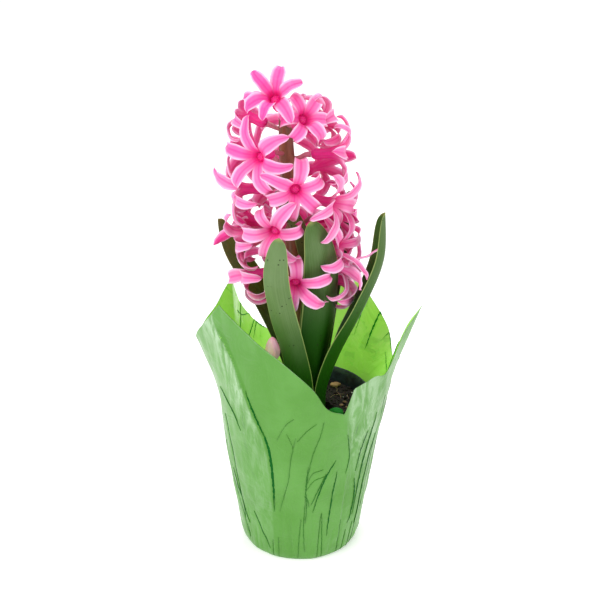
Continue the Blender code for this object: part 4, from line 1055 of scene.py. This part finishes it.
def build_fine_leaf(name, material, seed, spine, foot, width, widest, blunt, fold, turn=0,
                    keel=0.0):
    """A strap leaf: channelled, softly ribbed, with thin rounded margins and a hooded tip."""
    stations = 96
    path = smooth_path(scaled(spine), stations)
    rings, along_values = [], []
    for j, (spot, along) in enumerate(zip(path, tangents(path))):
        t = j / (stations - 1)
        half = 0.5 * leaf_width(min(t, 0.985), foot, width, widest, blunt)
        past = max(0.0, t - 1 + LEAF_ROUNDING) / LEAF_ROUNDING
        half *= max(0.02, math.sqrt(max(0.0, 1 - past ** 2)))
        half *= 1 + 0.025 * math.sin(9 * t + seed) + 0.012 * math.sin(23 * t + 2 * seed)
        front, back = [], []
        for u in FINE_LEAF_COLUMNS:
            middle, out = leaf_section(spot, along, half, blend(*fold, t), turn, u - keel)
            thick = blend(LEAF_RIB * blend(1.0, 0.6, t), 0.5 * LEAF_EDGE, abs(u) ** 1.5)
            thick *= math.sqrt(max(0.04, 1 - abs(u) ** 14)) * min(1.0, 0.35 + 16 * (1 - t))
            ripple = 0.35 * MM * math.sin(14 * t + seed * 3) * abs(u) ** 3
            rib = 0.05 * MM * math.cos(u * 34)
            centre = middle + out * ripple
            front.append(centre + out * (thick / 2 + rib))
            back.append(centre - out * (thick / 2 + rib))
        rings.append(front + back[::-1])
        along_values += [t] * len(rings[-1])
    body = Body("across", "along", "face", "tone")
    columns = len(FINE_LEAF_COLUMNS)
    body.add(*lofted(rings), across=(FINE_LEAF_COLUMNS + FINE_LEAF_COLUMNS[::-1]) * stations,
             along=along_values, face=([0.0] * columns + [1.0] * columns) * stations, tone=0.1 * seed)
    body.piece(name + "_blade", material, "leaf_green", name)


def build_leaves(guard):
    """Every leaf, finely. Its solid goes to the placing rules."""
    greens = leaf_paint("leaf_green_paint", (0.03, 0.12, 0.008), (0.11, 0.19, 0.06))
    # Shaded copies of the leaf green: painted shade for the leaves further in, and painted shade with a
    # painted pink reflection from the florets.
    deep = leaf_paint("leaf_shaded_paint", (0.022, 0.1, 0.005), (0.062, 0.13, 0.026), (0.4, 0.9))
    shaded_pink_reflection = leaf_paint("leaf_shaded_pink_reflection_paint", (0.09, 0.14, 0.012), (0.1, 0.16, 0.025))
    for seed, (name, shape) in enumerate(LEAVES.items()):
        guard.add(*leaf_solid(**shape))
        paint = {"leaf_inner": shaded_pink_reflection, "leaf_far_left": shaded_pink_reflection, "leaf_front_left": greens}.get(name, deep)
        build_fine_leaf(name, material=paint, seed=seed + 1, **shape)


def build_side_stalk():
    """A pale side stalk with one closed bud: six tepals folded round each other."""
    path = smooth_path(scaled(SIDE_STALK_PATH), 40)
    rings = [ring_about(p, UP, SIDE_STALK_RADIUS * (1 - 0.12 * j / 39), 20)
             for j, p in enumerate(path)]
    pale = plain_paint("pale_stalk_paint", (0.6, 0.66, 0.46), (0.42, 0.5, 0.3), 180.0, 0.45, 0.1 * MM,
                       (1.0, 1.0, 0.25), Subsurface_Weight=0.1, Subsurface_Scale=1.0 * MM)
    add_piece("side_stalk_stem", *lofted(rings), [pale], "pale_stalk", ["side_stalk"])
    axis = tangents(path)[-1]
    foot = path[-1] + axis * SEAT_GAP
    sides, rounds = 48, 40
    rings = []
    for j in range(rounds + 1):
        z = j / rounds
        centre = foot + axis * SIDE_BUD_LENGTH * z
        radius = SIDE_BUD_RADIUS * table_value(SIDE_BUD_SHAPE, z)
        ring = ring_about(centre, axis, radius, sides, Vector((1, 0, 0)))
        lobes = [math.cos(6 * math.tau * k / sides + 3.0 * z) * math.sin(math.pi * z)
                 for k in range(sides)]
        rings.append([centre + (p - centre) * (0.96 + 0.06 * lobe) for p, lobe in zip(ring, lobes)])
    paint = plain_paint("bud_paint", (0.98, 0.6, 0.72), (0.95, 0.4, 0.56), 130.0, 0.4, 0.08 * MM,
                        (1.0, 1.0, 0.3), Subsurface_Weight=0.15, Subsurface_Scale=1.0 * MM)
    add_piece("side_bud_petals", *lofted(rings), [paint], "bud_pink", ["side_bud"])


# ---------------- placing the florets

def scape_point(height):
    """Middle of the scape at a height, carried on straight above its top."""
    path = scaled(SCAPE_PATH)
    table_x = [(p.z, p.x) for p in path]
    table_y = [(p.z, p.y) for p in path]
    low = max(height, path[0].z)
    return Vector((table_value(table_x, low), table_value(table_y, low), height))


def extent(points):
    """Middle of some points, and how far they reach from it."""
    middle = sum(points, Vector()) / len(points)
    return middle, max((p - middle).length for p in points)


class Guard:
    """Keeps the surfaces already placed and tells whether a new one stays clear of them."""

    def __init__(self):
        self.placed = []

    def add(self, points, faces, owner=None):
        """Places a surface. The one owner named may still cross it."""
        self.placed.append((*extent(points), BVHTree.FromPolygons(points, faces), owner))

    def is_clear(self, points, faces, asker=-1):
        middle, reach = extent(points)
        tree = BVHTree.FromPolygons(points, faces)
        for other, other_reach, other_tree, owner in self.placed:
            near = (other - middle).length < reach + other_reach
            if near and owner != asker and tree.overlap(other_tree):
                return False
        return True


def floret_matrix(azimuth, throat_height, pitch):
    """Frame of a floret: its foot at the origin, facing +Z."""
    turn = math.radians(azimuth)
    tilt = math.radians(pitch)
    facing = Vector((math.cos(turn) * math.cos(tilt), math.sin(turn) * math.cos(tilt), math.sin(tilt)))
    share = min(1.0, (TOP_THROAT_HEIGHT - throat_height) / REACH_DEPTH)
    reach = blend(TOP_REACH, FULL_REACH, math.sin(0.5 * math.pi * share))
    throat = scape_point(throat_height) + polar(reach, turn)
    foot = throat - facing * TUBE_LENGTH
    return Matrix.Translation(foot) @ facing.to_track_quat("Z", "Y").to_matrix().to_4x4()


def tepal_path(place, shape, steps):
    """Places along a tepal's middle line from the throat: share, angle, radius, turn, height."""
    turn = math.pi * (2 * place + 1) / TEPALS
    length = TEPAL_LENGTH * shape["length"]
    radius, height = THROAT_RADIUS * 0.95, TUBE_LENGTH

    def bend(share):
        return blend(shape["start"], shape["end"], share ** shape["ease"])

    path = []
    for step in range(1, steps + 1):
        angle = bend((step - 0.5) / steps)
        radius += math.sin(angle) * length / steps
        height += math.cos(angle) * length / steps
        s = step / steps
        path.append((s, bend(s), radius, turn + shape["lean"] * s ** 1.5, height))
    return path


def blade_ways(angle, turn):
    """Sideways and front directions of a blade at a turn, bent over by an angle."""
    out = Vector((math.cos(turn), math.sin(turn), 0.0))
    side = Vector((-math.sin(turn), math.cos(turn), 0.0))
    return side, UP * math.sin(angle) - out * math.cos(angle)


def tepal_half_width(place, shape, s):
    half = 0.5 * TEPAL_WIDTH * shape["width"] * table_value(TEPAL_SHAPE, s)
    return half * (INNER_TEPAL_WIDTH if place % 2 else 1.0)


def tepal_rings(place, shape, margin):
    """Four-point rings of one tepal beyond the throat, and its tip, as the solid has them."""
    steps = 30
    wanted = [round(s * steps) for s in TEPAL_STEPS]
    path = tepal_path(place, shape, steps)
    rings = []
    for s, angle, radius, turn, height in (path[step - 1] for step in wanted):
        middle = polar(radius, turn, height)
        side, front = blade_ways(angle, turn)
        half = tepal_half_width(place, shape, s)
        edge = front * (2 * half * TEPAL_CUP)
        rings.append([
            middle - side * (half + margin) + edge,
            middle + front * (TEPAL_FRONT + margin),
            middle + side * (half + margin) + edge,
            middle - front * (TEPAL_BACK * blend(1.0, 0.7, s) + margin),
        ])
    return rings, polar(*path[-1][2:])


def tepal_patch(matrix, place, shape, with_root):
    """A tepal's outline grown by the clearance, in the world, for testing."""
    rings, tip = tepal_rings(place, shape, CLEARANCE)
    if with_root:
        wide = THROAT_RADIUS + CLEARANCE
        corners = ((0, 0.0), (1, -1.2 * MM), (2, 0.0), (1, 0.3 * MM))
        rings.insert(0, [polar(wide + more, math.pi * (2 * place + k) / TEPALS, TUBE_LENGTH)
                         for k, more in corners])
    points = [matrix @ p for ring in rings for p in ring] + [matrix @ tip]
    last = len(points) - 5
    ends = [(last + k, last + (k + 1) % 4, last + 4) for k in range(4)]
    return points, side_triangles(rings, True) + ends


def tube_patch(matrix, reach=0.0):
    """The tube and pedicel grown by the clearance, with the open space before the throat."""
    outline = [(r * MM + CLEARANCE, z * MM) for r, z in TUBE_PROFILE]
    outline.append((THROAT_RADIUS + CLEARANCE, TUBE_LENGTH))
    if reach:
        outline.append((THROAT_RADIUS + 0.6 * reach, TUBE_LENGTH + reach))
    rings = [[matrix @ p for p in circle(ORIGIN, r, z, 6)] for r, z in outline]
    foot = matrix @ Vector((0.0, 0.0, -SEAT_GAP))
    root = scape_point(foot.z - 3 * MM)
    axis = (foot - root).normalized()
    patch = Body()
    patch.add(*loft_triangles(rings))
    stem = [ring_about(p, axis, PEDICEL_RADIUS + CLEARANCE, 6) for p in (root, foot)]
    patch.add(*loft_triangles(stem))
    return patch.points, patch.faces


def place_florets(guard):
    """Frames of all the florets, each turned a little where a leaf or a neighbour is in its way."""
    frames = []
    for i in range(FLORETS):
        height = TOP_THROAT_HEIGHT - THROAT_DROP * i + THROAT_DROP_EASE * i * i
        pitch = 38.0 * math.exp(-i / 2.2) + blend(6.0, -10.0, i / (FLORETS - 1))
        turn, rise, _ = FLORET_SHIFTS.get(i, (0, 0, 0))
        azimuth = FIRST_AZIMUTH + GOLDEN_ANGLE * i + turn
        height += rise * MM
        for room, shift, drop in FRAME_CHOICES:
            matrix = floret_matrix(azimuth + shift, height - drop * MM, pitch)
            if guard.is_clear(*tube_patch(matrix, reach=room)):
                break
        frames.append(matrix)
        guard.add(*tube_patch(matrix, reach=room), owner=i)
    return frames


def tepal_choices(rng, index, floret_curl):
    """Shapes to try for a tepal, from a full curl to a short and narrow one."""
    curl = math.radians(floret_curl + rng.uniform(-40, 40))
    start = math.radians(rng.uniform(24, 46))
    ease = rng.uniform(0.85, 1.5)
    sweep = rng.uniform(-TEPAL_SWEEP, TEPAL_SWEEP)
    whole = blend(TOP_TEPAL_SHARE, 1.0, min(1.0, index / FULL_LENGTH_FLORET))
    for width in (1.0, 0.6):
        for length in (1.0, 0.93, 0.86, 0.78, 0.7, 0.6, 0.5, 0.4, 0.3):
            for opening in (1.0, 0.5, 0.1):
                for turn in (1.0, 0.85, 1.15, 0.7, 0.5, 0.3):
                    for lean in (0.0, 0.22, -0.22, 0.4, -0.4):
                        yield dict(length=whole * length, width=width, start=start * opening,
                                   end=curl * turn, ease=ease, lean=sweep + lean)


def choose_florets(guard):
    """Frame and six tepal shapes of every floret, in the order in which they are placed."""
    rng = random.Random(FLORET_SEED)
    frames = place_florets(guard)
    chosen = []
    for i, matrix in enumerate(frames):
        spin = rng.uniform(0, 60) + FLORET_SHIFTS.get(i, (0, 0, 0))[2]
        matrix = matrix @ Matrix.Rotation(math.radians(spin), 4, "Z")
        floret_curl = rng.uniform(*FLORET_CURLS) if i else TOP_FLORET_CURL
        own = Guard()
        own.add(*tube_patch(matrix))
        shapes = []
        for place in range(TEPALS):
            for shape in tepal_choices(rng, i, floret_curl):
                whole = tepal_patch(matrix, place, shape, with_root=True)
                blade = tepal_patch(matrix, place, shape, with_root=False)
                if own.is_clear(*blade) and guard.is_clear(*whole, asker=i):
                    break
            shapes.append(shape)
            own.add(*blade)
            guard.add(*whole, owner=i)
        chosen.append((matrix, shapes))
    return frames, chosen


# ---------------- the florets themselves

FINE_ACROSS = [-1.0, -0.88, -0.66, -0.4, -0.16, 0.0, 0.16, 0.4, 0.66, 0.88, 1.0]
TUBE_CURVE = [(0.0, 1.5), (0.8, 2.3), (2.2, 3.1), (3.8, 3.35), (5.8, 3.1), (8.5, 2.85), (11.0, 3.05),
              (13.2, 3.6), (15.0, 4.15)]  # height and radius, mm
# Radius and height, mm
TUBE_FOOT = [(0.2, -0.1), (1.0, 0.0), (1.7, 0.5), (2.3, 1.4), (1.9, 3.0), (0.3, 3.4)]
STIGMA = [(0.3, 11.0), (3.1, 11.2), (3.3, 11.9), (2.6, 12.8), (1.3, 13.3), (0.2, 13.4)]
TUBE_TEPAL_SHARE = 0.56  # half a tepal's width in the tube, as a share of the tube's radius
TEPAL_ROUNDING = 0.1  # share of a tepal's length over which its tip rounds off
ANTHER_RING = 1.5 * MM  # radius of the circle on which the anthers stand
ANTHER_RADIUS = 0.42 * MM
ANTHER_FOOT = 12.1  # height, mm
ANTHER_LENGTH = 2.0  # mm


def blade_ring(middle, side, front, half, cup, thick, hollow):
    """One ring round a blade: the front from left to right, then the back from right to left."""
    faces = [[], []]
    for u in FINE_ACROSS:
        lift = cup * half * u * u
        spot = middle + side * (half * u) + front * lift
        wall = thick * (1 - 0.68 * abs(u) ** 1.7)
        groove = hollow * math.exp(-(u / 0.2) ** 2)
        faces[0].append(spot + front * (0.3 * wall - groove))
        faces[1].append(spot - front * (0.7 * wall))
    return faces[0] + faces[1][::-1]


def fine_tepal(rng, place, shape, body, matrix, tone):
    """One sixth of the tube running on into its curled strap, with a groove, keel and hooked tip."""
    rings, along_values = [], []
    turn = math.pi * (2 * place + 1) / TEPALS
    side, front = blade_ways(0.0, turn)
    for step in range(13):
        z = TUBE_LENGTH / MM * step / 13
        radius = table_value(TUBE_CURVE, z) * MM
        rings.append(blade_ring(polar(radius, turn, z * MM), side, front, TUBE_TEPAL_SHARE * radius,
                                0.27, 0.9 * MM, 0.05 * MM))
        along_values.append(-0.5 + 0.5 * step / 13)
    phase, twist = rng.uniform(0, math.tau), math.radians(rng.uniform(-9, 9))
    for s, angle, radius, lean, height in tepal_path(place, shape, 44):
        side, front = blade_ways(angle, lean)
        roll = Matrix.Rotation(twist * s, 3, front.cross(side))
        side, front = roll @ side, roll @ front
        half = tepal_half_width(place, shape, s)
        half = min(half, blend(TUBE_TEPAL_SHARE * radius, half, min(1.0, s / 0.22)))
        half *= 1 + 0.05 * math.sin(11 * s + phase)
        past = (s - 1 + TEPAL_ROUNDING) / TEPAL_ROUNDING
        if past > 0:
            half *= math.sqrt(max(0.03, 1 - past ** 2))
        cup = blend(0.27, 0.36, s) + 0.5 * max(0.0, s - 0.82) / 0.18
        middle = polar(radius, lean, height) + front * 0.22 * MM * math.sin(17 * s + phase)
        rings.append(blade_ring(middle, side, front, half, cup, blend(1.0, 0.72, s) * MM,
                                0.2 * MM * min(1.0, 4 * s)))
        along_values.append(s)
    body.add([matrix @ p for ring in rings for p in ring], lofted(rings)[1],
             across=(FINE_ACROSS + FINE_ACROSS[::-1]) * len(rings),
             along=[v for v in along_values for _ in rings[0]], tone=tone)


def throat_parts(body, anthers, matrix, tone):
    """The tube's rounded foot, and the six anthers and the stigma inside the throat."""
    for profile, ripple, across, along in ((TUBE_FOOT, 0.0, 0.6, -0.3), (STIGMA, 0.08, 0.0, -0.2)):
        rings = [[matrix @ p for p in circle(ORIGIN, radius * MM, height * MM, 24,
                                             lambda turn: 1 + ripple * math.cos(6 * turn))]
                 for radius, height in profile]
        body.add(*lofted(rings), across=across, along=along, tone=tone)
    for k in range(TEPALS):
        rings = []
        for j in range(6):
            height = (ANTHER_FOOT + ANTHER_LENGTH * j / 5) * MM
            middle = polar(ANTHER_RING, math.pi * (2 * k + 1) / TEPALS, height)
            swell = ANTHER_RADIUS * math.sin(math.pi * (j + 0.4) / 5.8)
            rings.append([matrix @ p for p in circle(middle, swell, 0.0, 8)])
        anthers.add(*lofted(rings))


def build_florets(guard):
    """Every floret, finely, where its solid is."""
    frames, chosen = choose_florets(guard)
    pink = petal_paint()
    rosy = plain_paint("anther_paint", (0.93, 0.16, 0.4), (0.86, 0.07, 0.3), 900.0, 0.6, 0.05 * MM)
    rng = random.Random(SEED + 2)
    anthers = Body()
    for i, (matrix, shapes) in enumerate(chosen):
        body = Body("across", "along", "tone")
        floret_tone = rng.random()
        for place, shape in enumerate(shapes):
            tone = min(1.0, max(0.0, floret_tone + rng.uniform(-0.25, 0.25)))
            fine_tepal(rng, place, shape, body, matrix, tone)
        throat_parts(body, anthers, matrix, floret_tone)
        name = f"floret_{i + 1:02d}"
        body.piece(name + "_petals", pink, "hyacinth_pink", name)
    anthers.piece("floret_anthers", rosy, "hyacinth_pink")
    return frames


def add_scape(body, path):
    """The ribbed scape, closed by a small dome."""
    sides, last = 40, len(path) - 1
    rings = []
    for j, p in enumerate(path):
        share = j / last
        radius = table_value(list(enumerate(SCAPE_RADII)), share * (len(SCAPE_RADII) - 1)) * CM
        rings.append(circle(p, radius, 0.0, sides,
                            lambda turn: 1 + 0.025 * math.cos(7 * turn + 4 * share)
                            + 0.02 * noise.noise(Vector((turn, share * 20, 3)))))
    for swell, rise in ((0.94, 0.6), (0.75, 1.5), (0.45, 2.2), (0.1, 2.5)):
        top = path[-1] + UP * rise * MM
        rings.append([top + (p - path[-1]) * swell for p in rings[last]])
    levels = [min(1.0, j / last) for j in range(len(rings)) for _ in range(sides)]
    body.add(*lofted(rings), along=levels, face=0.0)


def add_pedicel(body, index, matrix, top):
    """The short curved stem from the scape to a floret's foot."""
    steps, sides = 16, 16
    foot = matrix @ Vector((0.0, 0.0, -SEAT_GAP))
    root = scape_point(min(foot.z - 3 * MM, top - (1 + 2 * index) * MM))
    facing = (matrix.to_3x3() @ UP).normalized()
    reach = (foot - root).length
    line = smooth_path([root, root.lerp(foot, 0.45) - UP * 0.06 * reach, foot - facing * 0.22 * reach,
                        foot], steps)
    axes = tangents(line)[:-1] + [facing]
    side = (foot - root).normalized().orthogonal()
    rings, levels = [], []
    for j, (p, axis) in enumerate(zip(line, axes)):
        t = j / (steps - 1)
        width = PEDICEL_RADIUS * (1.2 - 0.3 * math.sin(math.pi * t) + 0.12 * t)
        rings.append(ring_about(p, axis, width, sides, side))
        levels += [0.9 * t] * sides
    body.add(*lofted(rings), along=levels, face=1.0)


def build_flower_stalk(frames):
    """The brown scape, and a short pedicel under each floret."""
    path = smooth_path(scaled(SCAPE_PATH), 90)
    body = Body("along", "face")
    add_scape(body, path)
    for i, matrix in enumerate(frames):
        add_pedicel(body, i, matrix, path[-1].z)
    paint = Paint("scape_paint", Coat_Weight=0.15, Coat_Roughness=0.35, Subsurface_Weight=0.04,
                  Subsurface_Scale=1.0 * MM)
    along = paint.attribute("along")
    clouds = paint.noise(150.0, 5.0, 0.6, vector=paint.stretched(1.0, 1.0, 0.16))
    brown = paint.mix(paint.between(clouds, 0.3, 0.7), (0.115, 0.045, 0.016), (0.27, 0.115, 0.045))
    foot_green = paint.mix(0.5, (0.16, 0.2, 0.06), brown)
    paint.colour = paint.mix(paint.between(along, 0.1, 0.5), foot_green, brown)
    paint.layer(paint.attribute("face"), paint.mix(along, (0.3, 0.1, 0.07), (0.62, 0.16, 0.27)))
    paint.layer(paint.between(paint.cells(700.0), 0.12, 0.2, 0.6, 0.0), (0.07, 0.025, 0.012))
    material = paint.finish(paint.between(clouds, 0.3, 0.7, 0.5, 0.36),
                            paint.bump(clouds, 0.15 * MM, 0.6))
    body.piece("scape_and_pedicels", material, "scape_brown", "flower_stalk")


# ---------------- camera, light and floor

VIEW_AIM = Vector((0.0, 0.0, 18.54 * CM))
VIEW_DISTANCE = 103.0 * CM
VIEW_ELEVATION = 25.0
VIEW_LENS = 92.6
VIEW_SHIFT = -0.01
# Square area lights: name, azimuth, elevation, distance, size and power
SOFTBOXES = [("key_left", -42, 42, 1.3, 0.9, 10.0), ("fill_right", 62, 28, 1.4, 1.0, 4.5),
             ("back_top", 170, 55, 1.3, 0.9, 9.0)]
WORLD_STRENGTH = 0.62
FLOOR_RADIUS = 9.0


def aimed(name, data, azimuth, elevation, distance):
    """Aims a camera or light at the middle of the plant. Azimuth 0 is in front, 90 to the right."""
    made = linked(name, data)
    turn, tilt = math.radians(azimuth), math.radians(elevation)
    away = Vector((math.sin(turn) * math.cos(tilt), -math.cos(turn) * math.cos(tilt), math.sin(tilt)))
    made.location = VIEW_AIM + away * distance
    made.rotation_euler = (-away).to_track_quat("-Z", "Y").to_euler()
    return made


def build_camera():
    data = bpy.data.cameras.new("studio_camera")
    data.lens = VIEW_LENS
    data.sensor_width = 36.0
    data.shift_y = VIEW_SHIFT
    data.clip_end = 50.0
    bpy.context.scene.camera = aimed("studio_camera", data, 0.0, VIEW_ELEVATION, VIEW_DISTANCE)


def build_studio():
    """White light from three sides and all round, and a white floor."""
    scene = bpy.context.scene
    scene.view_settings.view_transform = "Standard"
    world = bpy.data.worlds.new("studio")
    world.use_nodes = True
    sky = world.node_tree.nodes["Background"].inputs
    sky["Color"].default_value = (1.0, 1.0, 1.0, 1.0)
    sky["Strength"].default_value = WORLD_STRENGTH
    scene.world = world
    for name, azimuth, elevation, distance, size, power in SOFTBOXES:
        light = bpy.data.lights.new(name, "AREA")
        light.size = size
        light.energy = power
        aimed(name, light, azimuth, elevation, distance)
    work = bmesh.new()
    bmesh.ops.create_circle(work, cap_ends=True, radius=FLOOR_RADIUS, segments=96)
    mesh = bpy.data.meshes.new("studio_floor")
    work.to_mesh(mesh)
    work.free()
    floor = linked("studio_floor", mesh)
    paint = Paint("floor_white", Emission_Color=(1.0, 1.0, 1.0), Emission_Strength=0.3)
    paint.colour = (0.93, 0.93, 0.93)
    mesh.materials.append(paint.finish(0.7))


def main():
    build_camera()
    build_studio()
    build_cover()
    build_nursery_pot()
    peat = build_soil()
    build_litter(peat)
    build_chip()
    build_bulb_neck()
    build_side_stalk()
    guard = Guard()
    build_leaves(guard)
    frames = build_florets(guard)
    build_flower_stalk(frames)


main()
